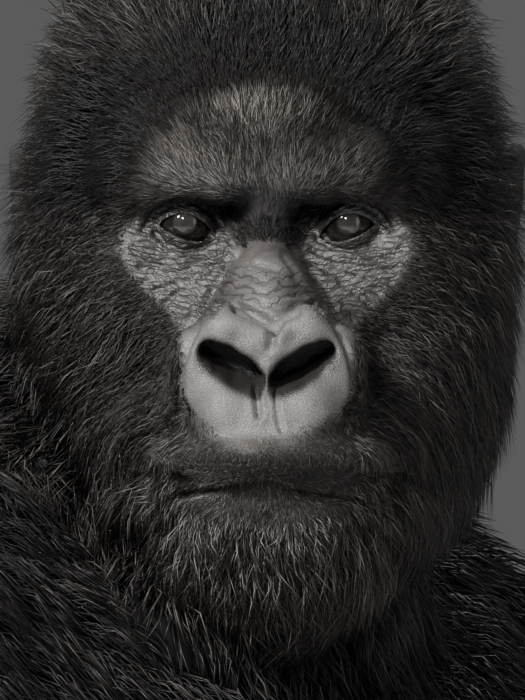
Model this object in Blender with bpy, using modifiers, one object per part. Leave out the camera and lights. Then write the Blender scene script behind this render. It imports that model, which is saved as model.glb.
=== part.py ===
"""A seated silverback mountain gorilla, life size, as a still museum model.

The trunk sits upright and faces TRUNK_TURN degrees away from the gaze; the head is turned on the
neck so that the face looks along -Y.  Every form is a hull of balls or an egg, placed by joint
and bone.  The forms of a group are welded with a voxel remesh, relaxed and thinned; the groups
are then fitted to each other with a small gap and parted into the pieces of the body with thin
cuts.  The surface is the outline of the coat, and the bare skin on the face, hands and feet.

Metres, +Z up.  The origin is where the seat rests on the floor.
"""
import math

import bmesh
import bpy
from mathutils import Matrix, Vector
from mathutils.bvhtree import BVHTree

# Driving dimensions.
EYE_HEIGHT = 0.905        # eye line above the floor
EYE_SPACING = 0.074       # between the middles of the eyeballs
EYEBALL_RADIUS = 0.0120
EAR_OUT = 108             # from the middle of the head to the plate of the ear, in millimetres
EAR_BACK = 104            # from the eyes back to the middle of the ear, in millimetres
EAR_UP = 13               # from the level of the eyes up to the middle of the ear, in millimetres
TRUNK_TURN = 62.0         # from the gaze to the way the chest faces, about the vertical
SEAT_BEHIND = 0.040       # the seat, behind the middle of the trunk
ATLAS_BEHIND_EYES = 0.095
NECK_PIVOT = Vector((0.125, 0.0, 0.0))    # the atlas, ahead of the middle of the trunk
CUT_WIDTH = 0.0006        # thin cuts between the parts of the body
GAP = 0.0005              # clearance of a piece that is let into another
TOUCH = 0.000002          # closer than this counts as lying on a neighbour
MERGE = 0.00001           # points closer than this are one
FOLD_STEPS = 12           # rounds of drawing a point out of a fold between faces

HEAD_VOXEL, BODY_VOXEL, DIGIT_VOXEL, EAR_VOXEL = 0.0034, 0.0080, 0.0030, 0.0016
HEAD_RELAX, BODY_RELAX, DIGIT_RELAX = 7, 9, 3
HEAD_TRIANGLES, TRUNK_TRIANGLES, ARM_TRIANGLES, LEG_TRIANGLES = 2350, 660, 280, 250
DIGIT_TRIANGLES, EAR_TRIANGLES = 44, 110

# Frames.  Head forms are in millimetres from the point between the eyes, with +x to the animal's
# left, +y towards the nape and +z up.  Body forms are in metres from the floor under the middle
# of the trunk, with +x ahead of the chest, +y to the left and +z up.
MM = 0.001
BODY_FRAME = (Matrix.Rotation(math.radians(TRUNK_TURN - 90.0), 4, "Z")
              @ Matrix.Translation((SEAT_BEHIND, 0.0, 0.0)))
BETWEEN_EYES = BODY_FRAME @ NECK_PIVOT + Vector((0.0, -ATLAS_BEHIND_EYES, EYE_HEIGHT))
HEAD_FRAME = Matrix.Translation(BETWEEN_EYES) @ Matrix.Scale(MM, 4)
SIDES = {"left": 1.0, "right": -1.0}

# Joints of the limbs in the body frame.
SHOULDER = (0.030, 0.255, 0.672)
HIP, KNEE, ANKLE, BALL = ((0.010, 0.135, 0.165), (0.280, 0.385, 0.235),
                          (0.445, 0.245, 0.086), (0.590, 0.285, 0.020))
ARMS = {"left": ((0.230, 0.315, 0.395), (0.375, 0.122, 0.150), (0.440, 0.108, 0.068)),
        "right": ((0.240, -0.305, 0.385), (0.405, -0.112, 0.150), (0.470, -0.098, 0.068))}
FINGERS = {"index": 0.0480, "middle": 0.0160, "ring": -0.0160, "little": -0.0475}
FINGER_RADII = (0.0146, 0.0143, 0.0138, 0.0126)
TOE_RADII = (0.0116, 0.0114, 0.0108)
TOES = {"second": 0.0345, "third": 0.0085, "fourth": -0.0175, "fifth": -0.0430}

MATERIALS = {"skin": ((0.055, 0.050, 0.048), 0.45), "coat": ((0.022, 0.018, 0.017), 0.75),
             "silver": ((0.17, 0.16, 0.155), 0.75), "eye": ((0.035, 0.022, 0.014), 0.08)}


def clear_scene():
    for old in list(bpy.data.objects):
        bpy.data.objects.remove(old)


def between(start, end, share):
    return tuple(a + (b - a) * share for a, b in zip(start, end))


def on_side(point, side):
    return (point[0], point[1] * SIDES[side], point[2])


def ahead_and_inward(start, end, side):
    """Level unit vectors along the way from start to end, and from it to the animal's middle."""
    way = Vector((end[0] - start[0], end[1] - start[1], 0.0)).normalized()
    return way, Vector((way.y, -way.x, 0.0)) * SIDES[side]


class Clay:
    """Overlapping closed forms in one bmesh, written in a frame with a mirror plane."""

    def __init__(self, frame, mirror_axis):
        self.mesh = bmesh.new()
        self.frame = frame
        self.mirror = Matrix.Scale(-1.0, 4, mirror_axis)

    def place(self, form, both_sides):
        bmesh.ops.recalc_face_normals(form, faces=form.faces)
        holder = bpy.data.meshes.new("form")
        form.to_mesh(holder)
        form.free()
        holder.transform(self.frame)
        self.mesh.from_mesh(holder)
        if both_sides:
            holder.transform(self.frame @ self.mirror @ self.frame.inverted())
            holder.flip_normals()
            self.mesh.from_mesh(holder)
        bpy.data.meshes.remove(holder)

    def hull(self, *balls, both_sides=False):
        """The convex hull of balls, each (x, y, z, radius)."""
        form = bmesh.new()
        for x, y, z, radius in balls:
            bmesh.ops.create_icosphere(form, subdivisions=3, radius=radius,
                                       matrix=Matrix.Translation((x, y, z)))
        hull = bmesh.ops.convex_hull(form, input=form.verts)
        spare = {v for v in hull["geom_interior"] + hull["geom_unused"]
                 if isinstance(v, bmesh.types.BMVert)}
        bmesh.ops.delete(form, geom=list(spare), context="VERTS")
        bmesh.ops.delete(form, geom=[v for v in form.verts if not v.link_faces], context="VERTS")
        self.place(form, both_sides)

    def chain(self, *balls, both_sides=False):
        """Hulls from each ball to the next."""
        for first, second in zip(balls, balls[1:]):
            self.hull(first, second, both_sides=both_sides)

    def egg(self, centre, radii, tilt=(0.0, 0.0, 0.0), both_sides=False):
        """An ellipsoid, turned by tilt degrees about x, y and z."""
        form = bmesh.new()
        turn = Matrix.Identity(4)
        for angle, axis in zip(tilt, "XYZ"):
            turn = Matrix.Rotation(math.radians(angle), 4, axis) @ turn
        size = Matrix.Diagonal((*radii, 1.0))
        bmesh.ops.create_icosphere(form, subdivisions=4, radius=1.0,
                                   matrix=Matrix.Translation(centre) @ turn @ size)
        self.place(form, both_sides)


# Forms of the head.

def cranium(clay):
    """Skull, crest, nape, temples and the ruff of the cheeks, out to the coat."""
    clay.egg((0, 98, 56), (103, 106, 132))
    clay.hull((0, 96, 124, 64), (0, 142, 100, 64))
    clay.hull((0, 112, 60, 92), (0, 130, -30, 95), (-6, 112, -100, 98))
    clay.hull((44, 64, 60, 58), (52, 70, 0, 63), both_sides=True)
    clay.egg((66, 62, -50), (52, 68, 110), both_sides=True)
    clay.egg((60, 38, -72), (40, 44, 84), (0, 0, 14), both_sides=True)


def brow(clay):
    clay.egg((0, 26, 58), (70, 46, 60))
    clay.chain((0, -12, 20, 13), (20, -20, 23, 13), (42, -17, 24, 13.5), (60, -3, 20, 14.5),
               (73, 18, 6, 15), both_sides=True)
    clay.egg((38, 8, 38), (40, 26, 22), both_sides=True)


def midface(clay):
    """Cheekbones, the rims under the eyes and the block of the upper jaw."""
    clay.chain((22, 4, -22, 12), (42, 4, -26, 13), (62, 12, -17, 15), (78, 36, -6, 16),
               both_sides=True)
    clay.hull((9, 6, -6, 14), (22, -2, -50, 22), (-9, 6, -6, 14), (-22, -2, -50, 22))
    clay.hull((30, 20, -40, 26), (38, 12, -90, 32), (-30, 20, -40, 26), (-38, 12, -90, 32))


def nose(clay):
    """The bridge, and for each side the rim round the nostril with its lower pad."""
    clay.chain((0, -12, 4, 8), (0, -18, -8, 8.5), (0, -37, -28, 15), (0, -58, -44, 17))
    clay.hull((9, -26, -32, 14), (15, -46, -52, 20), (-9, -26, -32, 14), (-15, -46, -52, 20))
    clay.egg((15, -56, -70), (24, 34, 29), (0, 0, -8), both_sides=True)
    clay.egg((22, -46, -75), (20, 40, 27), (0, 0, 6), both_sides=True)
    clay.hull((24, -12, -58, 22), (30, -26, -92, 24), both_sides=True)
    clay.chain((5, -84, -54, 10), (18, -81, -47, 12), (29, -71, -59, 12), (30, -70, -79, 11.5),
               (19, -82, -90, 12), (6, -90, -91, 9), both_sides=True)
    clay.hull((0, -86, -56, 6), (0, -93, -88, 6))


def muzzle(clay):
    """Upper lip and lower lip, with the crease of the mouth between them."""
    clay.hull((22, -76, -98, 22), (38, -34, -96, 28), (-22, -76, -98, 22), (-38, -34, -96, 28))
    clay.egg((0, -60, -104), (46, 48, 19))
    clay.hull((18, -72, -133, 15), (31, -36, -136, 20), (-18, -72, -133, 15), (-31, -36, -136, 20))
    clay.hull((34, -10, -110, 30), (28, -4, -140, 32), (-34, -10, -110, 30), (-28, -4, -140, 32))


def beard(clay):
    """Chin, beard and throat, out to the coat."""
    clay.egg((0, -34, -150), (58, 52, 38), (-12, 0, 0))
    clay.egg((0, -22, -160), (50, 46, 38))
    clay.hull((40, 28, -112, 58), (-40, 28, -112, 58), (0, 4, -138, 58))
    clay.hull((0, 10, -130, 64), (0, 70, -100, 84))


def head_forms():
    clay = Clay(HEAD_FRAME, (1, 0, 0))
    for form in (cranium, brow, midface, nose, muzzle, beard):
        form(clay)
    return clay.mesh


def face_openings():
    """What is cut from the head: the nostrils and the windows in front of the eyes."""
    clay = Clay(HEAD_FRAME, (1, 0, 0))
    clay.chain((9, -96, -76, 6), (18, -92, -68, 7.5), (28, -83, -61, 6), both_sides=True)
    clay.hull((11, -88, -74, 5.5), (16, -68, -66, 5.5), both_sides=True)
    clay.chain((26.5, -13, -5, 3.5), (32, -18, 0.5, 6.5), (41, -18, 1.5, 6.5),
               (48, -13, 0.5, 3.5), both_sides=True)
    return clay.mesh


def ear_forms(side):
    """The rim of the ear as a bent rod round the plate of the bowl."""
    clay = Clay(HEAD_FRAME, (1, 0, 0))
    out = SIDES[side]
    rim = [(3, -6, 8), (7, -4, 20), (9, 6, 25), (9, 15, 18), (8, 17, 5), (6, 12, -10), (4, 3, -20),
           (2, -4, -13)]
    rods = [(out * (EAR_OUT + x), EAR_BACK - 6 + y, EAR_UP - 3 + z, 4.4) for x, y, z in rim]
    clay.chain(*rods)
    clay.egg((out * EAR_OUT, EAR_BACK, EAR_UP), (6, 14, 22), (0, 0, 14 * out))
    clay.egg((out * (EAR_OUT - 1), EAR_BACK - 12, EAR_UP - 5), (5, 5, 9))
    return clay.mesh


def eyeball(side):
    middle = HEAD_FRAME @ Vector((SIDES[side] * EYE_SPACING / MM / 2.0, 0.0, 0.0))
    ball = bmesh.new()
    bmesh.ops.create_uvsphere(ball, u_segments=10, v_segments=8, radius=EYEBALL_RADIUS,
                              matrix=Matrix.Translation(middle))
    return ball


# Forms of the body.

def neck(clay):
    """The neck and the thick nape that runs from the crest down to the shoulders."""
    clay.hull((0.000, 0.0, 0.70, 0.170), (0.080, 0.0, 0.785, 0.114))
    clay.hull((0.060, 0.0, 0.74, 0.145), (0.115, 0.0, 0.850, 0.085))
    clay.hull((-0.030, 0.0, 0.69, 0.175), (0.106, 0.030, 0.831, 0.102))


def trunk_forms():
    clay = Clay(BODY_FRAME, (0, 1, 0))
    neck(clay)
    clay.hull((-0.040, 0.095, 0.158, 0.162), (-0.040, -0.095, 0.158, 0.162),
              (-0.045, 0.0, 0.250, 0.185))
    clay.egg((0.085, 0.0, 0.325), (0.220, 0.250, 0.220), (0, -8, 0))
    clay.hull((-0.050, 0.0, 0.25, 0.190), (-0.060, 0.0, 0.42, 0.205))
    clay.hull((-0.060, 0.0, 0.42, 0.205), (-0.035, 0.0, 0.58, 0.210))
    clay.egg((0.030, 0.0, 0.560), (0.215, 0.270, 0.215))
    clay.hull((-0.050, 0.10, 0.62, 0.165), (-0.050, -0.10, 0.62, 0.165), (-0.010, 0.0, 0.70, 0.175))
    clay.hull((0.140, 0.10, 0.62, 0.09), (0.050, 0.20, 0.68, 0.11), both_sides=True)
    clay.hull((0.000, 0.12, 0.71, 0.13), (0.020, 0.22, 0.68, 0.130), both_sides=True)
    clay.hull((0.010, 0.10, 0.19, 0.15), (0.060, 0.17, 0.18, 0.125), both_sides=True)
    return clay.mesh


def leg_forms(side):
    """Thigh, calf and the foot up to the roots of the toes."""
    clay = Clay(BODY_FRAME, (0, 1, 0))
    hip, knee, ankle, ball = (on_side(joint, side) for joint in (HIP, KNEE, ANKLE, BALL))
    clay.hull((*hip, 0.135), (*between(hip, knee, 0.5), 0.127))
    clay.hull((*between(hip, knee, 0.4), 0.128), (*knee, 0.088))
    calf = between(knee, ankle, 0.35)
    clay.hull((*knee, 0.088), (calf[0] - 0.02, calf[1], calf[2], 0.082), (*ankle, 0.052))
    way, inward = ahead_and_inward(ankle, ball, side)
    heel = Vector((*ankle[:2], 0.0)) - way * 0.042
    clay.hull((heel.x, heel.y, 0.037, 0.040), (*ankle, 0.046), (*between(ankle, ball, 0.6), 0.030))
    inner, outer = (Vector((*ball[:2], 0.0)) - way * 0.013 + inward * s for s in (0.033, -0.040))
    clay.hull((heel.x, heel.y, 0.032, 0.036), (inner.x, inner.y, 0.024, 0.026),
              (outer.x, outer.y, 0.020, 0.022))
    root = Vector((*ball[:2], 0.0)) - way * 0.094 + inward * 0.024
    clay.hull((root.x, root.y, 0.032, 0.030), (root.x + 0.03 * inward.x, root.y + 0.03 * inward.y,
                                               0.025, 0.025))
    return clay.mesh


def toe_forms(side):
    """Each toe as a chain of joints, the first one opposed like a thumb."""
    ankle, ball = on_side(ANKLE, side), on_side(BALL, side)
    way, inward = ahead_and_inward(ankle, ball, side)
    root = Vector((*ball[:2], 0.0))
    toes = {}
    for name, sideways in TOES.items():
        joints = ((-0.016, 0.020), (0.018, 0.021), (0.044, 0.0096))
        size = 1.0 - 3.0 * abs(sideways - TOES["third"])
        clay = Clay(BODY_FRAME, (0, 1, 0))
        points = [root + way * ahead * size + inward * sideways for ahead, _ in joints]
        clay.chain(*((p.x, p.y, z, radius) for p, (_, z), radius in zip(points, joints, TOE_RADII)))
        toes[name + "_toe_" + side] = clay.mesh
    clay = Clay(BODY_FRAME, (0, 1, 0))
    base = root - way * 0.088
    joints = ((0.000, 0.052, 0.025, 0.0225), (0.028, 0.078, 0.0195, 0.0205),
              (0.056, 0.094, 0.0165, 0.0180))
    points = [base + way * ahead + inward * sideways for ahead, sideways, _, _ in joints]
    clay.chain(*((p.x, p.y, z, radius) for p, (_, _, z, radius) in zip(points, joints)))
    toes["big_toe_" + side] = clay.mesh
    return toes


def arm_forms(side):
    """Upper arm, forearm with its long hair, and the back of the hand down to the knuckles."""
    clay = Clay(BODY_FRAME, (0, 1, 0))
    shoulder = on_side(SHOULDER, side)
    elbow, wrist, knuckles = ARMS[side]
    clay.hull((*shoulder, 0.127), (*between(shoulder, elbow, 0.35), 0.108))
    clay.hull((*between(shoulder, elbow, 0.3), 0.110), (*elbow, 0.084))
    clay.hull((*elbow, 0.084), (*between(elbow, wrist, 0.30), 0.090), (*wrist, 0.050))
    inward = ahead_and_inward(wrist, knuckles, side)[1]
    edges = [Vector(knuckles) + inward * s for s in (FINGERS["index"], FINGERS["little"])]
    heel = [Vector(wrist) + inward * s - Vector((0.0, 0.0, 0.030)) for s in (0.030, -0.030)]
    clay.hull((*wrist, 0.040), *((*edge, 0.0195) for edge in edges),
              *((*corner, 0.026) for corner in heel))
    return clay.mesh


def finger_forms(side):
    """Fingers folded under, resting on the backs of their middle bones, and a short thumb."""
    wrist, knuckles = ARMS[side][1:]
    way, inward = ahead_and_inward(wrist, knuckles, side)
    root = Vector((*knuckles[:2], 0.0))
    fingers = {}
    for name, sideways in FINGERS.items():
        joints = ((0.000, 0.066), (0.038, 0.0131), (-0.008, 0.0126), (-0.034, 0.0230))
        size = 1.0 - 2.5 * abs(sideways - FINGERS["middle"])
        clay = Clay(BODY_FRAME, (0, 1, 0))
        points = [root + way * ahead * size + inward * sideways for ahead, _ in joints]
        clay.chain(*((p.x, p.y, z, radius)
                     for p, (_, z), radius in zip(points, joints, FINGER_RADII)))
        fingers[name + "_finger_" + side] = clay.mesh
    clay = Clay(BODY_FRAME, (0, 1, 0))
    joints = ((-0.056, 0.052, 0.092, 0.0180), (-0.034, 0.074, 0.068, 0.0160),
              (-0.014, 0.082, 0.046, 0.0135))
    points = [root + way * ahead + inward * sideways for ahead, sideways, _, _ in joints]
    clay.chain(*((p.x, p.y, z, radius) for p, (_, _, z, radius) in zip(points, joints)))
    fingers["thumb_" + side] = clay.mesh
    return fingers


# Solids.

def new_object(name, mesh, parent):
    """An object from a bmesh or a mesh, in the collection given."""
    if isinstance(mesh, bmesh.types.BMesh):
        data = bpy.data.meshes.new(name)
        mesh.to_mesh(data)
        mesh.free()
    else:
        data = mesh
        data.name = name
    thing = bpy.data.objects.new(name, data)
    parent.objects.link(thing)
    return thing


def cutter(name, mesh, shed):
    tool = new_object(name, mesh, shed)
    tool.hide_render = True
    tool.display_type = "WIRE"
    return tool


def settle(thing):
    """Replaces the mesh with the result of the modifiers."""
    bpy.context.view_layer.update()
    graph = bpy.context.evaluated_depsgraph_get()
    result = bpy.data.meshes.new_from_object(thing.evaluated_get(graph))
    thing.modifiers.clear()
    old = thing.data
    thing.data = result
    result.name = thing.name
    bpy.data.meshes.remove(old)
    return thing


def weld(thing, voxel, relax):
    remesh = thing.modifiers.new("weld", "REMESH")
    remesh.mode = "VOXEL"
    remesh.voxel_size = voxel
    smooth = thing.modifiers.new("relax", "SMOOTH")
    smooth.factor = 0.5
    smooth.iterations = relax
    return settle(thing)


def thin(thing, triangles, keep=None):
    """Collapses the mesh to about so many triangles, fewer of them where keep is low."""
    collapse = thing.modifiers.new("thin", "DECIMATE")
    count = sum(len(face.vertices) - 2 for face in thing.data.polygons)
    collapse.ratio = min(1.0, triangles / count)
    if keep:
        group = thing.vertex_groups.new(name="spare")
        for vertex in thing.data.vertices:
            group.add([vertex.index], 1.0 - keep(vertex.co), "REPLACE")
        collapse.vertex_group = group.name
        collapse.vertex_group_factor = 1.0
    settle(thing)
    thing.vertex_groups.clear()
    return thing


def combine(thing, other, operation="DIFFERENCE"):
    cut = thing.modifiers.new("cut", "BOOLEAN")
    cut.operation = operation
    cut.solver = "EXACT"
    cut.object = other
    return settle(thing)


def tidied(thing):
    """Keeps the largest closed shell of what a cut leaves, in triangles."""
    mesh = bmesh.new()
    mesh.from_mesh(thing.data)
    left, shells = set(mesh.verts), []
    while left:
        shell, edge = set(), [left.pop()]
        while edge:
            vertex = edge.pop()
            shell.add(vertex)
            fresh = {link.other_vert(vertex) for link in vertex.link_edges} & left
            left -= fresh
            edge += fresh
        shells.append(shell)
    for shell in sorted(shells, key=len)[:-1]:
        bmesh.ops.delete(mesh, geom=list(shell), context="VERTS")
    bmesh.ops.remove_doubles(mesh, verts=mesh.verts, dist=MERGE)
    bmesh.ops.triangulate(mesh, faces=mesh.faces)
    mesh.to_mesh(thing.data)
    mesh.free()


def half_space(point, normal, shed):
    """A large box whose one face lies at the point, on the side that the normal points to."""
    size = 3.0
    turn = Vector(normal).to_track_quat("Z", "Y").to_matrix().to_4x4()
    box = bmesh.new()
    bmesh.ops.create_cube(box, size=size, matrix=Matrix.Translation(Vector(point))
                          @ turn @ Matrix.Translation((0.0, 0.0, size / 2.0)))
    return cutter("half_space", box, shed)


def part_at(thing, point, normal, name, shed):
    """Cuts the thing in two; the half that the normal points to becomes a new object."""
    point, normal = Vector(point), Vector(normal).normalized()
    other = new_object(name, thing.data.copy(), thing.users_collection[0])
    step = normal * CUT_WIDTH / 2.0
    ahead, behind = (half_space(point + step, normal, shed), half_space(point - step, -normal, shed))
    combine(other, ahead, "INTERSECT")
    combine(thing, behind, "INTERSECT")
    for box in (ahead, behind):
        bpy.data.objects.remove(box)
    tidied(other)
    tidied(thing)
    return other


def parted(thing, cuts, shed):
    """The thing and what each of the cuts (name, point, normal) parts from it, by name."""
    parts = {thing.name: thing}
    for name, point, normal in cuts:
        parts[name] = part_at(thing, point, normal, name, shed)
    return parts


def ground(thing, shed):
    """Takes off what is below the floor, which leaves the flats that the model rests on."""
    floor = half_space((0.0, 0.0, 0.0), (0.0, 0.0, -1.0), shed)
    tidied(combine(thing, floor))
    bpy.data.objects.remove(floor)


def boxes_meet(one, other):
    lows, highs = [], []
    for thing in (one, other):
        places = [vertex.co for vertex in thing.data.vertices]
        lows.append([min(place[axis] for place in places) for axis in range(3)])
        highs.append([max(place[axis] for place in places) for axis in range(3)])
    return all(max(low) < min(high) for low, high in zip(zip(*lows), zip(*highs)))


def fit(thing, neighbours):
    """Takes the neighbours from the thing, draws it back from them by the gap, drops crumbs."""
    for neighbour in neighbours:
        if not boxes_meet(thing, neighbour):
            continue
        tidied(combine(thing, neighbour))
        surface = BVHTree.FromPolygons([vertex.co for vertex in neighbour.data.vertices],
                                       [face.vertices for face in neighbour.data.polygons])
        for vertex in thing.data.vertices:
            vertex.co += draw_back([hit[1] for hit in surface.find_nearest_range(vertex.co, TOUCH)])


def draw_back(normals):
    """The short way that leads out of faces with these normals by the gap."""
    way = Vector()
    for _ in range(FOLD_STEPS):
        for normal in normals:
            way += normal * max(0.0, GAP - way.dot(normal))
    return way


def body_point(point):
    return BODY_FRAME @ Vector(point)


def body_way(way):
    return BODY_FRAME.to_3x3() @ Vector(way)


def joint_cut(name, start, joint, end):
    """A cut across a limb at a joint, square to the way through it."""
    way = (Vector(joint) - Vector(start)).normalized() + (Vector(end) - Vector(joint)).normalized()
    return name, body_point(joint), body_way(way)


def face_share(place):
    """How much of the mesh is kept: more of it on the bare front of the face."""
    x, y, z = HEAD_FRAME.inverted() @ place
    return 0.60 if y < 4.0 and z > -142.0 and abs(x) < 90.0 else 0.20


def build_head(pieces, shed):
    head = weld(new_object("head", head_forms(), pieces), HEAD_VOXEL, HEAD_RELAX)
    openings = weld(cutter("openings", face_openings(), shed), HEAD_VOXEL / 3.0, 1)
    weld(combine(head, openings), HEAD_VOXEL * 0.7, 1)
    bpy.data.objects.remove(openings)
    thin(head, HEAD_TRIANGLES, face_share)
    nape = part_at(head, HEAD_FRAME @ Vector((0.0, 100.0, -120.0)), (0.0, 0.64, -0.77), "nape", shed)
    bpy.data.objects.remove(nape)
    for side in SIDES:
        fit(head, (new_object("eye_" + side, eyeball(side), pieces),))
    for side in SIDES:
        ear = weld(new_object("ear_" + side, ear_forms(side), pieces), EAR_VOXEL, DIGIT_RELAX)
        thin(ear, EAR_TRIANGLES)
        fit(ear, (head,))
    return head


def part_jaw(head, shed):
    """The lower jaw, parted along the mouth and down behind the chin."""
    behind, below = (half_space(HEAD_FRAME @ Vector(point), way, shed)
                     for point, way in (((0.0, -6.0, -118.0), (0.0, -0.94, -0.34)),
                                        ((0.0, -60.0, -118.0), (0.0, -0.10, -1.0))))
    wedge = combine(below, behind, "INTERSECT")
    jaw = new_object("lower_jaw", head.data.copy(), head.users_collection[0])
    combine(jaw, wedge, "INTERSECT")
    fit(head, (wedge,))
    bpy.data.objects.remove(behind)
    bpy.data.objects.remove(wedge)
    return jaw


def build_limb(kind, side, neighbours, pieces, shed):
    """One whole arm or leg, fitted to its neighbours, with the cuts that part it."""
    if kind == "arm":
        shoulder = on_side(SHOULDER, side)
        elbow, wrist, knuckles = ARMS[side]
        limb = new_object("upper_arm_" + side, arm_forms(side), pieces)
        triangles = ARM_TRIANGLES
        cuts = (joint_cut("hand_" + side, elbow, wrist, knuckles),
                joint_cut("forearm_" + side, shoulder, elbow, wrist))
    else:
        hip, knee, ankle, ball = (on_side(joint, side) for joint in (HIP, KNEE, ANKLE, BALL))
        limb = new_object("thigh_" + side, leg_forms(side), pieces)
        triangles = LEG_TRIANGLES
        cuts = (joint_cut("foot_" + side, knee, ankle, ball),
                joint_cut("shank_" + side, hip, knee, ankle))
    weld(limb, BODY_VOXEL / 2.0, BODY_RELAX)
    thin(limb, triangles)
    fit(limb, neighbours)
    ground(limb, shed)
    return limb, cuts


def build_digits(end, digits, pieces, shed):
    """The fingers of a hand or the toes of a foot, let into its front end."""
    for name, forms in digits.items():
        digit = weld(new_object(name, forms, pieces), DIGIT_VOXEL, DIGIT_RELAX)
        thin(digit, DIGIT_TRIANGLES)
        ground(digit, shed)
        fit(digit, (end,))


def build_trunk(head, pieces, shed):
    trunk = weld(new_object("chest", trunk_forms(), pieces), BODY_VOXEL, BODY_RELAX)
    thin(trunk, TRUNK_TRIANGLES)
    ground(trunk, shed)
    fit(trunk, (head,))
    return trunk


TRUNK_CUTS = (("neck", (0.03, 0.0, 0.775), (0.45, 0.0, 0.90)),
              ("belly", (0.0, 0.0, 0.455), (0.12, 0.0, -1.0)),
              ("rump", (0.0, 0.0, 0.225), (-0.25, 0.0, -1.0)))


def coat_material(name):
    color, roughness = MATERIALS[name]
    material = bpy.data.materials.new(name)
    material.use_nodes = True
    shader = material.node_tree.nodes["Principled BSDF"]
    shader.inputs["Base Color"].default_value = (*color, 1.0)
    shader.inputs["Roughness"].default_value = roughness
    return material


def material_name(part):
    if part.startswith("eye"):
        return "eye"
    if part.startswith(("belly", "rump")):
        return "silver"
    bare = ("ear", "hand", "foot", "thumb", "index", "middle", "ring", "little", "big_toe", "second",
            "third", "fourth", "fifth")
    return "skin" if part.startswith(bare) else "coat"


def main():
    clear_scene()
    pieces, shed = (bpy.data.collections.new(name) for name in ("gorilla", "cutters"))
    for group in (pieces, shed):
        bpy.context.scene.collection.children.link(group)
    head = build_head(pieces, shed)
    trunk = build_trunk(head, pieces, shed)
    whole = [head, trunk]
    limbs = {}
    for kind in ("leg", "arm"):
        for side in SIDES:
            limbs[kind, side] = build_limb(kind, side, whole, pieces, shed)
            whole.append(limbs[kind, side][0])
    for (kind, side), (limb, cuts) in limbs.items():
        end = parted(limb, cuts, shed)[cuts[0][0]]
        build_digits(end, (finger_forms if kind == "arm" else toe_forms)(side), pieces, shed)
    neck_cut, belly_cut, rump_cut = ((name, body_point(point), body_way(way))
                                     for name, point, way in TRUNK_CUTS)
    belly = parted(trunk, (neck_cut, belly_cut), shed)["belly"]
    parted(belly, (rump_cut,), shed)
    part_jaw(head, shed)
    for piece in pieces.objects:
        piece.data.materials.clear()
        piece.data.materials.append(coat_material(material_name(piece.name)))
    bpy.data.collections.remove(shed)


if __name__ == "__main__":
    main()
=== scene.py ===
"""A seated silverback mountain gorilla: skin, face, eyes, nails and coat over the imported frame.

One skin replaces the solids of flesh.  It starts as their voxel remesh, drawn in by the depth of
the coat; the head is then moved onto a smooth field of named forms and gets its lids, nostrils
and folds.  The coat is tapered tufts that grow from the skin along the lie of the hair.

Head forms are in millimetres from the point between the eyes: +x to the animal's left, +y to
the nape, +z up.  Everything else is in metres, in the frame of the solids.
"""
import math

import bpy
import numpy as np
from mathutils import Matrix, Vector
from mathutils.bvhtree import BVHTree
from mathutils.kdtree import KDTree


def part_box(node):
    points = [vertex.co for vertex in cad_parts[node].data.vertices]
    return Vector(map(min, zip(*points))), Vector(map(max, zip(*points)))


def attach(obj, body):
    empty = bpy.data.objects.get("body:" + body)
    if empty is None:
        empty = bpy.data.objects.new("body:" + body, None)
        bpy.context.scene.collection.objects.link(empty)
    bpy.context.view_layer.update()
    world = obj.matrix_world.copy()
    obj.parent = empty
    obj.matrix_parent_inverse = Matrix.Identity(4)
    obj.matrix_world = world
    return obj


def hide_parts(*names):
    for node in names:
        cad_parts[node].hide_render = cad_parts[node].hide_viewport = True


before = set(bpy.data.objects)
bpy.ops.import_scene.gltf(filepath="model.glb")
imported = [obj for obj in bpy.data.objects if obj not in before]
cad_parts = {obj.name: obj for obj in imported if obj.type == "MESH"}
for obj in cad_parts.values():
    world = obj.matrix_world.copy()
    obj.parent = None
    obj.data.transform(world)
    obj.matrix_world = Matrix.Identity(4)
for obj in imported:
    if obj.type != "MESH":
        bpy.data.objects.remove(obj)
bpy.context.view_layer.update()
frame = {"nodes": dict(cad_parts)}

MM = 0.001
FAR = 1e3
SIDES = ("left", "right")
FLESH = [name for name in frame["nodes"] if not name.startswith("eye")]


def middle_of(node):
    low, high = (np.array(corner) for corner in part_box(node))
    return (low + high) / 2.0


def is_digit(node):
    return node.startswith("thumb") or "finger" in node or "toe" in node


def palm_of(digit):
    """The middle of the hand or foot that the digit grows from."""
    return middle_of(("foot_" if "toe" in digit else "hand_") + digit.rsplit("_", 1)[1])


EYES = {side: middle_of("eye_" + side) for side in SIDES}
BETWEEN_EYES = (EYES["left"] + EYES["right"]) / 2.0
EYE_OUT = abs(EYES["left"][0] - EYES["right"][0]) / 2.0 / MM
EYE_RADIUS = (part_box("eye_left")[1][2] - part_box("eye_left")[0][2]) / 2.0 / MM


def to_head(points):
    return (points - BETWEEN_EYES) / MM


def from_head(points):
    return points * MM + BETWEEN_EYES


def smooth(low, high, value):
    """A step from 0 at low to 1 at high with soft ends."""
    share = np.clip((value - low) / (high - low), 0.0, 1.0)
    return share * share * (3.0 - 2.0 * share)


def spot(across, up, x, z, wide, tall):
    """1 at (x, z), fading out over wide and tall."""
    return np.exp(-((across - x) / wide) ** 2 - ((up - z) / tall) ** 2)


def unit(rows):
    """Each row scaled to length 1; a row of zeros stays."""
    return rows / np.maximum(np.linalg.norm(rows, axis=1), 1e-20)[:, None]


# Fields of the head: signed distances in millimetres, negative inside.

def egg(points, centre, radii, nod=0.0, yaw=0.0):
    """An ellipsoid, nodded about x and yawed about z, in degrees."""
    turn = Matrix.Rotation(math.radians(yaw), 3, "Z") @ Matrix.Rotation(math.radians(nod), 3, "X")
    local = (points - np.array(centre)) @ np.array(turn)
    near = np.linalg.norm(local / np.array(radii), axis=1)
    steep = np.linalg.norm(local / np.array(radii) ** 2, axis=1)
    return near * (near - 1.0) / np.maximum(steep, 1e-9)


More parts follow.
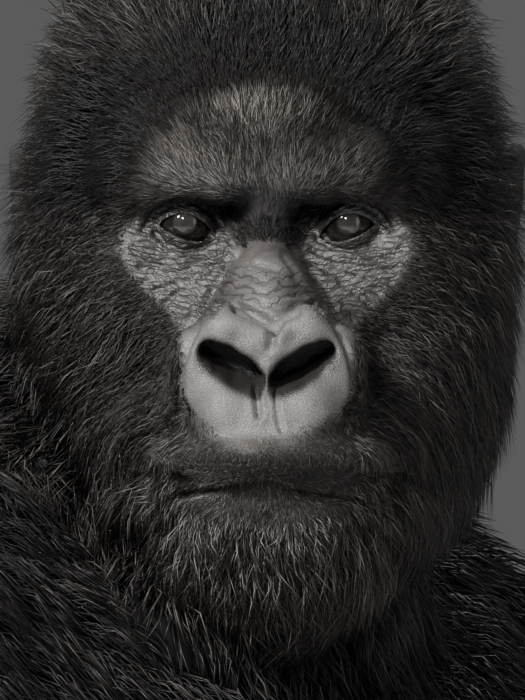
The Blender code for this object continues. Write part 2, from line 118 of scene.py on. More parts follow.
def rod(points, start, end):
    """A bar from one ball to another, each (x, y, z, radius)."""
    start, end = np.array(start, float), np.array(end, float)
    way = end[:3] - start[:3]
    share = np.clip((points - start[:3]) @ way / (way @ way), 0.0, 1.0)
    centre = start[:3] + share[:, None] * way
    return np.linalg.norm(points - centre, axis=1) - start[3] - share * (end[3] - start[3])


def blend(one, other, soft):
    """The union of two fields with a fillet."""
    share = np.clip(0.5 + 0.5 * (other - one) / soft, 0.0, 1.0)
    return other + (one - other) * share - soft * share * (1.0 - share)


def carve(field, tool, soft):
    return -blend(-field, tool, soft)


def formed(field, q, *forms):
    """The field with forms blended on: each is a softness, then a field or the balls of a chain."""
    for soft, *parts in forms:
        if isinstance(parts[0], np.ndarray):
            field = blend(field, parts[0], soft)
        for first, second in zip(parts, parts[1:]):
            field = blend(field, rod(q, first, second), soft)
    return field


def skull_field(q):
    """Cranium, crest, nape, temples and the ruff of the cheeks, out to the coat."""
    return formed(
        egg(q, (0, 98, 56), (103, 106, 132)), q,
        (18, (0, 96, 124, 64), (0, 142, 100, 64)),
        (18, (0, 112, 60, 92), (0, 130, -30, 95), (-6, 112, -100, 98)),
        (16, (44, 64, 60, 58), (52, 70, 0, 63)),
        (16, egg(q, (66, 62, -50), (52, 68, 110))),
        (16, egg(q, (60, 38, -72), (40, 44, 84), yaw=14)))


def brow_field(field, q):
    ridge = formed(
        np.full(len(q), FAR), q,
        (8, (0, -13, 20, 12), (20, -20, 23, 12.5), (42, -17, 24, 13.5), (60, -3, 20, 14.5),
         (73, 18, 6, 15)))
    return formed(
        field, q,
        (14, egg(q, (0, 26, 58), (70, 46, 60))),
        (14, egg(q, (38, 8, 38), (40, 26, 22))),
        (20, ridge))


def midface_field(field, q):
    """Cheekbones, the rims under the eyes and the block of the upper jaw."""
    return formed(
        field, q,
        (16, (22, 4, -24, 12), (42, 5, -28, 13), (62, 13, -19, 15), (78, 36, -6, 16)),
        (12, (6, 6, -6, 14), (16, -2, -50, 24)),
        (22, (24, 18, -44, 28), (30, 12, -90, 36)))


def nose_field(field, q):
    """Root, bridge, pad, wings and the rims of the nostrils."""
    return formed(
        field, q,
        (13, (0, -8, 6, 8), (0, -15, -8, 8.5)),
        (5, (0, -18, -10, 8.5), (0, -37, -28, 15), (0, -58, -44, 17)),
        (7, (7, -26, -32, 15), (12, -46, -52, 21)),
        (6, egg(q, (15, -56, -70), (24, 34, 29), yaw=-8)),
        (6, egg(q, (22, -46, -75), (20, 40, 27), yaw=6)),
        (8, (22, -12, -58, 20), (26, -22, -88, 22)),
        (6, (5, -84, -55, 10), (18, -81, -50, 11), (28, -73, -60, 13), (26, -72.5, -76, 13.2),
         (16.5, -81.5, -82, 13.5), (6, -87, -86, 11)),
        (3, (0, -86, -58, 6), (0, -92, -86, 6)))


def muzzle_field(field, q):
    """Upper lip, lower lip, corners of the mouth and jaw; the lips meet in a crease."""
    upper = formed(
        rod(q, (17, -76, -101, 18), (38, -30, -99, 27)), q,
        (4, (0, -80, -101, 18), (18, -77, -101, 18)),
        (5, egg(q, (0, -58, -104), (50, 50, 16))))
    lower = formed(
        rod(q, (16, -72, -134, 15), (30, -36, -137, 21)), q,
        (4, (0, -73, -134, 15), (18, -72, -134, 15)),
        (4, (0, -84, -125, 5), (22, -78, -126, 5), (40, -58, -128, 5)))
    return formed(
        field, q,
        (5.0 + 5.0 * smooth(-110.0, -98.0, q[:, 2]), upper),
        (8, lower),
        (6, (35, -45, -118, 11), (46, -36, -121, 15), (58, -14, -122, 18)),
        (4, (31, -65, -117.5, 10), (39, -59, -118.5, 10.5), (46, -50, -119.5, 11.5),
         (55, -36, -121, 13.5)),
        (8, (30, -10, -108, 32), (26, -4, -140, 34)))


def beard_field(field, q):
    return formed(
        field, q,
        (10, egg(q, (0, -34, -150), (58, 52, 38), nod=-12)),
        (10, egg(q, (0, -22, -160), (50, 46, 38))),
        (14, (36, 28, -112, 60), (0, 6, -138, 60), (0, 10, -130, 64), (0, 70, -100, 84)))


LID_INNER, LID_OUTER = (24.0, -6.2), (48.4, -1.0)
LID_BOWS = (6.7, -4.4)
LID_THICKNESS = 1.9
NOSTRIL = ((24.6, -60.6, 5.8), (19.5, -63.0, 7.0), (12.0, -68.0, 6.6), (5.4, -71.4, 4.4))
NOSTRIL_RISE, NOSTRIL_FRONT, NOSTRIL_BACK = 0.30, -92.0, -66.0


def lid_edges(x):
    """Heights of the upper and the lower lid's edge at a distance x out from the middle."""
    share = np.clip((x - LID_INNER[0]) / (LID_OUTER[0] - LID_INNER[0]), 0.0, 1.0)
    line = LID_INNER[1] + (LID_OUTER[1] - LID_INNER[1]) * share
    bow = np.sin(math.pi * share ** 0.88) ** 0.75
    return [line + height * bow for height in LID_BOWS]


def lids_field(field, q):
    """Closed lids over the eyeball."""
    eye = np.linalg.norm(q - (EYE_OUT, 0, 0), axis=1) - EYE_RADIUS
    return blend(field, eye - LID_THICKNESS, 4.0)


def eye_opening(field, q):
    upper, lower = lid_edges(q[:, 0])
    gap = np.maximum(q[:, 2] - upper, lower - q[:, 2])
    gap = np.maximum(gap, np.abs(q[:, 0] - (LID_INNER[0] + LID_OUTER[0]) / 2.0)
                     - (LID_OUTER[0] - LID_INNER[0]) / 2.0)
    return carve(field, np.maximum(gap, q[:, 1] + 3.0), 0.7)


def nostrils_field(field, q):
    """Slanted slots that run up and back into the nose."""
    flat = q.copy()
    flat[:, 2] -= NOSTRIL_RISE * (q[:, 1] - NOSTRIL_FRONT)
    flat[:, 1] = 0.0
    balls = [(x, 0.0, z, radius) for x, z, radius in NOSTRIL]
    slot = formed(np.full(len(q), FAR), flat, (1.0, *balls))
    return carve(field, np.maximum(slot, q[:, 1] - NOSTRIL_BACK), 3.6)


def head_field(points, openings=True):
    """The head out to its coat, the same on both sides."""
    q = points.copy()
    q[:, 0] = np.sqrt(q[:, 0] ** 2 + 0.04)
    field = skull_field(q)
    for part in (brow_field, midface_field, nose_field, muzzle_field, beard_field, lids_field):
        field = part(field, q)
    if openings:
        field = nostrils_field(eye_opening(field, q), q)
    return field


def face_share(q):
    """1 on the bare face, 0 where the long hair of the head starts."""
    reach = np.sqrt((q[:, 0] / 78.0) ** 2 + ((q[:, 2] + 38.0) / 98.0) ** 2)
    return (1.0 - smooth(0.80, 1.70, reach)) * (1.0 - smooth(0.0, 110.0, q[:, 1]))


def head_coat(q):
    """Depth of the coat over the head, in millimetres."""
    across, up = np.abs(q[:, 0]), q[:, 2]
    bare = face_share(q)
    long_hair = 21.0 + 5.0 * (1.0 - smooth(-160.0, -110.0, up))
    brow = 3.0 * smooth(-4.0, 30.0, up + 0.10 * across) + 6.0 * smooth(30.0, 110.0, up)
    return long_hair * (1.0 - bare) + brow * bare


# Meshes.

def make_mesh(name, points, triangles):
    mesh = bpy.data.meshes.new(name)
    mesh.vertices.add(len(points))
    mesh.vertices.foreach_set("co", np.asarray(points, np.float32).ravel())
    mesh.loops.add(len(triangles) * 3)
    mesh.loops.foreach_set("vertex_index", np.asarray(triangles, np.int32).ravel())
    mesh.polygons.add(len(triangles))
    mesh.polygons.foreach_set("loop_start", np.arange(len(triangles), dtype=np.int32) * 3)
    mesh.update()
    mesh.polygons.foreach_set("use_smooth", np.ones(len(triangles), bool))
    return mesh


def add_object(name, data):
    thing = bpy.data.objects.new(name, data)
    bpy.context.scene.collection.objects.link(thing)
    return thing


def places(mesh):
    flat = np.empty(len(mesh.vertices) * 3, np.float32)
    mesh.vertices.foreach_get("co", flat)
    return flat.reshape(-1, 3).astype(float)


def triangles_of(mesh):
    mesh.calc_loop_triangles()
    flat = np.empty(len(mesh.loop_triangles) * 3, np.int32)
    mesh.loop_triangles.foreach_get("vertices", flat)
    return flat.reshape(-1, 3)


def settle(thing):
    """The points and triangles that the object has after its modifiers; the object goes."""
    bpy.context.view_layer.update()
    graph = bpy.context.evaluated_depsgraph_get()
    result = bpy.data.meshes.new_from_object(thing.evaluated_get(graph))
    points, triangles = places(result), triangles_of(result)
    bpy.data.meshes.remove(result)
    bpy.data.meshes.remove(thing.data)
    return points, triangles


def weld(points, triangles, voxel):
    thing = add_object("weld", make_mesh("weld", points, triangles))
    remesh = thing.modifiers.new("weld", "REMESH")
    remesh.mode = "VOXEL"
    remesh.voxel_size = voxel
    return settle(thing)


def thin(points, triangles, keep, freedom):
    """Fewer triangles, taken mostly where freedom is 1."""
    thing = add_object("thin", make_mesh("thin", points, triangles))
    group = thing.vertex_groups.new(name="freedom")
    levels = np.round(freedom * 4).astype(int)
    for level in range(5):
        group.add(np.nonzero(levels == level)[0].tolist(), level / 4.0, "REPLACE")
    decimate = thing.modifiers.new("thin", "DECIMATE")
    decimate.ratio = keep / len(triangles)
    decimate.vertex_group = group.name
    decimate.vertex_group_factor = 1.0
    return settle(thing)


def surface_of(node):
    """The node's points and triangles, with one point wherever several lie together."""
    points, triangles = places(node.data), triangles_of(node.data)
    _, first, which = np.unique(np.round(points, 6), axis=0, return_index=True,
                                return_inverse=True)
    return points[first], which.ravel()[triangles]


def joined(parts):
    """Several (points, triangles) as one."""
    starts = np.cumsum([0] + [len(points) for points, _ in parts])
    return (np.concatenate([points for points, _ in parts]),
            np.concatenate([faces + start for (_, faces), start in zip(parts, starts)]))


def summed(index, values, count):
    """For each of count places, the sum of the rows of values with that index."""
    return np.stack([np.bincount(index, column, count) for column in values.T], axis=1)


def normals_of(points, triangles):
    corners = points[triangles]
    across = np.cross(corners[:, 1] - corners[:, 0], corners[:, 2] - corners[:, 0])
    return unit(sum(summed(triangles[:, corner], across, len(points)) for corner in range(3)))


def edges_of(triangles):
    """The edges, and for each triangle the places of its three in that list."""
    pairs = np.concatenate([triangles[:, [0, 1]], triangles[:, [1, 2]], triangles[:, [2, 0]]])
    links, which = np.unique(np.sort(pairs, axis=1), axis=0, return_inverse=True)
    return links, which.reshape(3, -1).T


def relaxed(values, links, rounds, share=0.5):
    """Each row moved towards the mean of its neighbours by the share, one for all or one each."""
    count = len(values)
    near = np.maximum(np.bincount(links.ravel(), minlength=count), 1)[:, None]
    share = np.reshape(share, (-1, 1))
    for _ in range(rounds):
        total = summed(links[:, 0], values[links[:, 1]], count)
        total += summed(links[:, 1], values[links[:, 0]], count)
        values = values + (total / near - values) * share
    return values


# The triangles that stand for one whose edges are split: 1, 2 and 4 add up to those that are,
# and the points 3, 4 and 5 are the middles of its edges.
SPLITS = {
    0: [(0, 1, 2)],
    1: [(0, 3, 2), (3, 1, 2)],
    2: [(0, 1, 4), (0, 4, 2)],
    4: [(0, 1, 5), (5, 1, 2)],
    3: [(3, 1, 4), (0, 3, 4), (0, 4, 2)],
    6: [(5, 4, 2), (0, 1, 4), (0, 4, 5)],
    5: [(0, 3, 5), (3, 1, 2), (3, 2, 5)],
    7: [(0, 3, 5), (3, 1, 4), (5, 4, 2), (3, 4, 5)],
}


def refined(points, triangles, longest):
    """Splits each edge that is longer than the length that longest gives for its middle."""
    links, which = edges_of(triangles)
    ends = points[links]
    middles = ends.mean(axis=1)
    split = np.linalg.norm(ends[:, 0] - ends[:, 1], axis=1) > longest(middles)
    fresh = len(points) + np.cumsum(split) - 1
    case = split[which] @ np.array([1, 2, 4])
    table = np.concatenate([triangles, fresh[which]], axis=1)
    parts = [table[case == kind][:, corner]
             for kind, corners in SPLITS.items() for corner in corners]
    return np.concatenate([points, middles[split]]), np.concatenate(parts)


# The skin.

SKIN_VOXEL, EAR_VOXEL = 0.0042, 0.0016
EAR_GROWTH = 0.0006
STEM_RADIUS, STEM_RISE = 0.011, -0.004
BODY_TRIANGLES = 51000
GROWTH, BARE_GROWTH, DIGIT_GROWTH = 0.0028, 0.0004, -0.0005
DIGIT_SHIFT = 0.002
SHALLOW = 0.012
COAT_DEPTH = {"upper_arm": 24, "forearm": 21, "chest": 19, "belly": 17, "rump": 15, "thigh": 16,
              "shank": 15, "neck": 22, "head": 20, "lower_jaw": 20}


def kind_of(node):
    return next((kind for kind in COAT_DEPTH if node.startswith(kind)), "bare")


def flesh():
    """The solids as one set of points and triangles, each grown a little to close the cuts."""
    parts, owners = [], []
    for name, node in frame["nodes"].items():
        if name.startswith("ear"):
            continue
        spots, faces = surface_of(node)
        bare = kind_of(name) == "bare"
        growth = DIGIT_GROWTH if is_digit(name) else BARE_GROWTH if bare else GROWTH
        spots = spots + normals_of(spots, faces) * growth
        if is_digit(name):
            inward = palm_of(name) - spots.mean(axis=0)
            spots = spots + inward / np.linalg.norm(inward) * DIGIT_SHIFT
        parts.append((spots, faces))
        owners += [name] * len(faces)
    return (*joined(parts), owners)


def nearest_owner(points, solid_points, solid_triangles, owners):
    """For each point, the name of the solid it is nearest to."""
    tree = BVHTree.FromPolygons(solid_points.tolist(), solid_triangles.tolist())
    return [owners[tree.find_nearest(point)[2]] for point in points.tolist()]


def taper(points, owner):
    """How much of its depth the coat has left near the hands and feet."""
    share = np.ones(len(points))
    ends = {"forearm": ("hand", 0.080, 0.170), "shank": ("foot", 0.085, 0.160)}
    for kind, (end, low, high) in ends.items():
        for side in SIDES:
            chosen = np.array([name == kind + "_" + side for name in owner])
            away = np.linalg.norm(points[chosen] - middle_of(end + "_" + side), axis=1)
            share[chosen] = smooth(low, high, away)
    return share


def drawn_in(points, triangles, depth, steps=6):
    """The surface moved inwards by the depth at each point, in steps, kept smooth."""
    links, _ = edges_of(triangles)
    free = np.clip(depth / SHALLOW, 0.0, 1.0) * 0.5
    for _ in range(steps):
        out = unit(relaxed(normals_of(points, triangles), links, 3))
        points = relaxed(points - out * (depth / steps)[:, None], links, 2, free)
    return points


def onto_field(points, share, rounds, openings):
    """The points moved onto the head's surface under the coat, by the share for each."""
    chosen = np.nonzero(share > 0.01)[0]
    q = to_head(points[chosen])
    step = 0.15
    for _ in range(rounds):
        value = head_field(q, openings)
        slope = np.stack([(head_field(q + axis * step, openings) - value) / step
                          for axis in np.eye(3)], axis=1)
        steep = np.maximum((slope ** 2).sum(axis=1), 0.2)
        move = np.clip((value + head_coat(q)) / steep, -4.0, 4.0) * share[chosen]
        q = q - slope * move[:, None]
    points = points.copy()
    points[chosen] = from_head(q)
    return points


def head_share(points):
    """1 on the head, 0 on the neck and below, by how far the head's surface is."""
    q = to_head(points)
    near = (q[:, 2] > -230.0) & (q[:, 1] < 260.0) & (np.abs(q[:, 0]) < 112.0)
    share = np.zeros(len(q))
    off = np.abs(head_field(q[near], False) + head_coat(q[near]))
    share[near] = 1.0 - smooth(8.0, 18.0, off)
    return share


def face_detail(points):
    """The longest edge wanted at each point."""
    q = to_head(points)
    across, up = np.abs(q[:, 0]), q[:, 2]
    size = np.full(len(q), 0.02)
    size[(face_share(q) > 0.4) & (q[:, 1] < 34.0)] = 0.0034
    size[(across < 62.0) & (up > -132.0) & (up < 18.0) & (q[:, 1] < 14.0)] = 0.0019
    eye = np.hypot((across - EYE_OUT) / 1.25, up + 2.0) < 16.0
    size[eye & (q[:, 1] < 4.0)] = 0.0010
    return size


def settled(points, triangles, rounds, steps, openings):
    """The face evened out and put back onto the field."""
    links, _ = edges_of(triangles)
    share = (head_share(points) * (face_detail(points) < 0.01))[:, None]
    share = np.minimum(relaxed(share, links, 4), share)[:, 0]
    return onto_field(relaxed(points, links, rounds, 0.5 * share), share, steps, openings)


def volume(points, triangles):
    first, second, third = (points[triangles[:, corner]] for corner in range(3))
    return (np.cross(first, second) * third).sum() / 6.0


def prism(ring_x, ring_z, front, back):
    """A closed bar with that ring as its section, from (y, rise) at the front to the back."""
    count = len(ring_x)
    rings = [np.stack([ring_x, np.full(count, y), ring_z + rise], axis=1)
             for y, rise in (front, back)]
    points = np.concatenate(rings + [ring.mean(axis=0)[None] for ring in rings])
    here = np.arange(count)
    there = (here + 1) % count
    sides = [(here, there, here + count), (there, there + count, here + count)]
    caps = [(there, here, np.full(count, 2 * count)),
            (here + count, there + count, np.full(count, 2 * count + 1))]
    faces = np.concatenate([np.stack(corners, axis=1) for corners in sides + caps])
    if volume(points, faces) < 0.0:
        faces = faces[:, ::-1]
    return from_head(points), faces


def almond_tool(side):
    """A prism through the opening between the lids of one eye."""
    turn = np.linspace(0.0, math.pi, 37)
    x = LID_INNER[0] + (LID_OUTER[0] - LID_INNER[0]) * (0.5 - 0.5 * np.cos(turn))
    upper, lower = lid_edges(x)
    return prism(np.concatenate([x, x[-2:0:-1]]) * side, np.concatenate([upper, lower[-2:0:-1]]),
                 (-40.0, 0.0), (-2.0, 0.0))


def nostril_tool(side):
    """A slanted slot that rises as it goes back."""
    turn = np.linspace(0.0, 2.0 * math.pi, 40, endpoint=False)
    hull = np.array([(x + r * math.cos(a), z + r * math.sin(a)) for x, z, r in NOSTRIL
                     for a in turn])
    middle = np.array([15.5, -65.5])
    way = np.arctan2(*(hull - middle).T[::-1])
    far = np.hypot(*(hull - middle).T)
    ring = []
    for angle in np.linspace(-math.pi, math.pi, 48, endpoint=False):
        near = np.abs((way - angle + math.pi) % (2.0 * math.pi) - math.pi) < 0.16
        ring.append(middle + far[near].max() * np.array([math.cos(angle), math.sin(angle)]))
    ring = np.array(ring)
    return prism(ring[:, 0] * side, ring[:, 1], (-112.0, -6.0), (NOSTRIL_BACK, 8.0))


def cut_openings(points, triangles):
    thing = add_object("skin", make_mesh("skin", points, triangles))
    tools = [add_object("tool", make_mesh("tool", *maker(side)))
             for side in (-1.0, 1.0) for maker in (almond_tool, nostril_tool)]
    for tool in tools:
        cut = thing.modifiers.new("cut", "BOOLEAN")
        cut.operation = "DIFFERENCE"
        cut.solver = "EXACT"
        cut.object = tool
    join = thing.modifiers.new("join", "WELD")
    join.merge_threshold = 0.0001
    result = settle(thing)
    for tool in tools:
        bpy.data.meshes.remove(tool.data)
    return result


def build_skin(solids):
    """The solids welded, drawn in under the coat and thinned, with the face put onto its field."""
    points, triangles = weld(*solids[:2], SKIN_VOXEL)
    owner = nearest_owner(points, *solids)
    depth = np.array([COAT_DEPTH.get(kind_of(name), 0) for name in owner]) * MM
    head = np.array([name in ("head", "lower_jaw") for name in owner])
    depth[head] = head_coat(to_head(points)[head]) * MM
    depth *= taper(points, owner)
    depth[depth > 0.0] += GROWTH
    links, _ = edges_of(triangles)
    depth = relaxed(depth[:, None], links, 14)[:, 0]
    points = relaxed(points, links, 24, 0.5 * np.clip(depth / SHALLOW, 0.0, 1.0))
    points, triangles = weld(drawn_in(points, triangles, depth), triangles, SKIN_VOXEL)

    links, _ = edges_of(triangles)
    share = relaxed(head_share(points)[:, None], links, 10)
    points = onto_field(points, share[:, 0], 3, False)
    points = relaxed(points, links, 3, 0.5 * share)
    points = onto_field(points, share[:, 0], 2, False)
    band = relaxed(share * (1.0 - share) * 4.0, links, 6)[:, 0]
    points = relaxed(points, links, 12, 0.5 * np.clip(band * 2.0, 0.0, 1.0))

    bare = np.array([kind_of(name) == "bare" for name in nearest_owner(points, *solids)])
    keep = bare | (face_detail(points) < 0.01)
    points, triangles = thin(points, triangles, BODY_TRIANGLES, 1.0 - 0.8 * keep)
    for _ in range(3):
        points, triangles = refined(points, triangles, face_detail)
        points = settled(points, triangles, 2, 1, False)
    points, triangles = cut_openings(points, triangles)
    for _ in range(2):
        points, triangles = refined(points, triangles, face_detail)
        points = settled(points, triangles, 1, 2, True)
    points = sculpted(points, triangles)
    points[:, 2] = np.maximum(points[:, 2], 0.0)
    return points, triangles


def ball_mesh(centre, radius, rows=12):
    """A round ball with points along its meridians."""
    tall = np.linspace(0.0, math.pi, rows + 1)[1:-1]
    turn = np.linspace(0.0, 2.0 * math.pi, 2 * rows, endpoint=False)
    ring = np.stack([np.cos(turn), np.sin(turn)], axis=1)
    points = [np.concatenate([ring * math.sin(t), np.full((2 * rows, 1), math.cos(t))], axis=1)
              for t in tall]
    points = np.concatenate(points + [[[0.0, 0.0, 1.0]], [[0.0, 0.0, -1.0]]])
    here = np.arange(2 * rows)
    there = (here + 1) % (2 * rows)
    faces = []
    for row in range(rows - 2):
        low, high = (row + 1) * 2 * rows, row * 2 * rows
        faces += [np.stack([here + high, here + low, there + high], axis=1),
                  np.stack([there + high, here + low, there + low], axis=1)]
    top, last = len(points) - 2, (rows - 2) * 2 * rows
    faces.append(np.stack([np.full_like(here, top), here, there], axis=1))
    faces.append(np.stack([np.full_like(here, top + 1), there + last, here + last], axis=1))
    return centre + points * radius, np.concatenate(faces)


def ear_surface(side):
    """The ear of the solids, smoothed, on a stem that reaches into the coat."""
    node = "ear_" + side
    points, faces = surface_of(frame["nodes"][node])
    points = points + normals_of(points, faces) * EAR_GROWTH
    inward = -1.0 if side == "left" else 1.0
    stem = [ball_mesh(middle_of(node) + np.array([inward * out, 0.0, STEM_RISE]) * MM, STEM_RADIUS)
            for out in (6.0, 14.0, 22.0, 30.0)]
    points, faces = weld(*joined([(points, faces)] + stem), EAR_VOXEL)
    return relaxed(points, edges_of(faces)[0], 4), faces


# The bare face and the markings.

BARE = ((0, -10), (7, -9), (9, -13), (13, -10), (17, -1), (23, 5), (32, 9), (45, 9), (55, 4),
        (63, -4), (66, -11), (58, -25), (50, -33), (42, -40), (37, -49), (36.6, -60), (37, -71),
        (36, -78), (31.5, -85), (25, -90), (17, -93.5), (8, -95.5), (0, -95))


def line_gap(flat, line):
    """The distance of each point of the plane from a broken line."""
    gap = np.full(len(flat), FAR)
    for start, end in zip(line, line[1:]):
        start, end = np.array(start, float), np.array(end, float)
        way = end - start
        share = np.clip((flat - start) @ way / (way @ way), 0.0, 1.0)
        gap = np.minimum(gap, np.linalg.norm(flat - start - share[:, None] * way, axis=1))
    return gap


def bare_gap(q):
    """How far a point of the head is outside the bare face, in millimetres; negative inside."""
    flat = np.stack([np.abs(q[:, 0]), q[:, 2]], axis=1)
    inside = np.zeros(len(q), bool)
    for (x0, z0), (x1, z1) in zip(BARE, BARE[1:]):
        spans = (flat[:, 1] < z0) != (flat[:, 1] < z1)
        cross = x0 + (flat[:, 1] - z0) / ((z1 - z0) or 1e-9) * (x1 - x0)
        inside ^= spans & (flat[:, 0] < cross)
    gap = np.where(inside, -1.0, 1.0) * line_gap(flat, BARE)
    gap -= 3.6 * spot(q[:, 0], q[:, 2], -11.0, -96.0, 9.0, 9.0)
    gap += 3.0 * spot(q[:, 0], q[:, 2], 22.0, -90.0, 11.0, 9.0)
    return np.maximum(gap, (q[:, 1] - 34.0) * 0.8)


def stubble_share(q):
    """1 on the short hair of the lips and the sides of the muzzle."""
    across, up = np.abs(q[:, 0]), q[:, 2]
    reach = np.sqrt((across / 50.0) ** 2 + ((up + 112.0) / 27.0) ** 2)
    return (1.0 - smooth(0.80, 1.30, reach)) * (1.0 - smooth(-60.0, -20.0, q[:, 1]))


def brow_reach(q):
    """1 on the arc where the short hair of the forehead ends."""
    return np.sqrt((q[:, 0] / 59.0) ** 2 + (np.maximum(q[:, 2] - 12.0, 0.0) / 45.0) ** 2)


def brow_share(q):
    """1 on the short greyer hair of the brow and forehead."""
    return (1.0 - smooth(0.82, 1.12, brow_reach(q))) * smooth(6.0, 24.0, q[:, 2]) * (q[:, 1] < 50.0)


def arc_shade_and_dark_root(q):
    """1 where the hair is darkened: painted shade on the arc behind the brow, and darker hair at the
    root of the nose.
    """
    across, up = np.abs(q[:, 0]), q[:, 2]
    reach = brow_reach(q)
    # Painted shade: the hair just behind the brow's arc is darkened where the forehead's short hair
    # stands in front of the crown's.
    arc = smooth(0.98, 1.10, reach) * (1.0 - smooth(1.30, 1.75, reach)) * smooth(4.0, 20.0, up)
    root = (1.0 - smooth(14.0, 22.0, across)) * smooth(-24.0, -12.0, up)
    root = root * (1.0 - smooth(6.0, 18.0, up))
    return np.maximum(0.95 * arc, root) * (q[:, 1] < 70.0)


def head_length(q):
    """Length of the hair on the head, in millimetres."""
    gap = np.maximum(bare_gap(q), 0.0)
    length = 5.0 + 0.95 * np.minimum(gap, 34.0)
    forehead = (1.0 - smooth(52.0, 66.0, np.abs(q[:, 0]))) * (1.0 - smooth(58.0, 84.0, q[:, 2]))
    forehead = forehead * smooth(-14.0, -4.0, q[:, 2])
    length = length * (1.0 - forehead) + (7.5 + 0.08 * np.maximum(q[:, 2], 0.0)) * forehead
    stubble = stubble_share(q)
    aside = np.maximum(np.abs(q[:, 0]) - 30.0, 0.0)
    chin = 4.2 + 0.30 * aside + 0.5 * np.maximum(-130.0 - q[:, 2], 0.0)
    length = length * (1.0 - stubble) + np.minimum(chin, length) * stubble
    return length * (0.62 + 0.38 * smooth(0.0, 8.0, gap))


def crown_side(q):
    """How much further the hair stands out on the sides of the crown, in millimetres."""
    across, up = np.abs(q[:, 0]), q[:, 2]
    return 9.0 * smooth(48.0, 92.0, across) * smooth(-70.0, 40.0, up) * smooth(-10.0, 30.0, q[:, 1])


def head_flow(q):
    """The way that the hair of the head lies."""
    out = unit(q - np.array([0.0, -30.0, -20.0]))
    fall = 0.9 * smooth(35.0, 85.0, np.abs(q[:, 0])) * (1.0 - smooth(40.0, 110.0, q[:, 2]))
    out[:, 2] -= fall + 0.4 * (1.0 - smooth(-90.0, -40.0, q[:, 2]))
    back = smooth(50.0, 150.0, q[:, 1])[:, None]
    out = out * (1.0 - back) + np.array([0.0, 0.35, -1.0]) * back
    mouth = unit(q - np.array([0.0, -60.0, -76.0]))
    share = 1.0 - smooth(-60.0, -30.0, q[:, 1])
    share = (share * (1.0 - smooth(-85.0, -60.0, q[:, 2])))[:, None]
    return out * (1.0 - share) + mouth * share


def skin_masks(q):
    """Where the face is wrinkled, folded across, smooth on the nose with a painted highlight along its
    bridge, and darker round the eyes, with painted shade under the brow and round the nostrils.
    """
    across, up = np.abs(q[:, 0]), q[:, 2]
    ahead = 1.0 - smooth(10.0, 30.0, q[:, 1])
    pad = 1.0 - smooth(0.82, 1.12, np.hypot(across / 40.0, (up + 67.0) / 30.0))
    cheek = smooth(9.0, 19.0, across + 0.15 * (up + 10.0)) * smooth(-52.0, -40.0, up) * (1.0 - pad)
    bridge = (1.0 - smooth(12.0, 26.0, across - 0.35 * (-up - 20.0))) * smooth(-44.0, -36.0, up)
    bridge *= 1.0 - smooth(-26.0, -14.0, up)
    # Painted highlight along the top of the nose's bridge, given as paler pad colour.
    ridge = np.exp(-(across / 13.0) ** 2) * smooth(-48.0, -40.0, up)
    ridge = ridge * (1.0 - smooth(-22.0, -12.0, up))
    pad = np.maximum(pad, 0.75 * ridge)

    lids = 1.0 - smooth(12.0, 18.5, np.hypot((across - EYE_OUT) / 1.35, up - 4.0))
    # Painted shade under the overhang of the brow, over the upper lids.
    over = smooth(-6.0, 4.0, up - 0.10 * across)
    between = (1.0 - smooth(8.0, 16.0, across)) * smooth(-12.0, -2.0, up)
    under = 0.42 * spot(across, up, 40.0, -13.0, 17.0, 6.0)
    # Painted shade in the hollow above each nostril's rim, and in the dent above it.
    nostril_shade = line_gap(np.stack([across, up], axis=1), [ball[:2] for ball in NOSTRIL])
    nostril_shade = 0.92 * (1.0 - smooth(6.2, 10.5, nostril_shade))
    dimple_shade = 0.5 * spot(across, up, 15.0, -52.5, 8.0, 3.4)
    # Darker round the eyes, between them and under them, with painted shade under the brow and round
    # the nostrils; darker skin under the fur away from the face.
    socket = np.max([lids * 0.9, over, between, under, nostril_shade, dimple_shade], axis=0)
    near = smooth(-150.0, -120.0, up) * (1.0 - smooth(120.0, 160.0, q[:, 1]))
    socket = np.maximum(socket * ahead, 0.8 * (1.0 - near))
    return {"cheek": cheek * ahead * 0.9, "bridge": bridge * ahead * 0.6, "pad": pad * ahead,
            "socket": socket}


def silver_share(points):
    """1 on the grey saddle of the back and the outside of the thighs."""
    middle = middle_of("belly")
    ahead = (middle_of("hand_left") + middle_of("hand_right")) / 2.0 - middle
    ahead[2] = 0.0
    ahead /= np.linalg.norm(ahead)
    off = points - middle
    height = points[:, 2]
    across = np.abs(off @ np.array([-ahead[1], ahead[0], 0.0]))
    share = smooth(-0.02, 0.14, -(off @ ahead)) * smooth(0.16, 0.30, height)
    return share * (1.0 - smooth(0.52, 0.70, height + 0.25 * across))


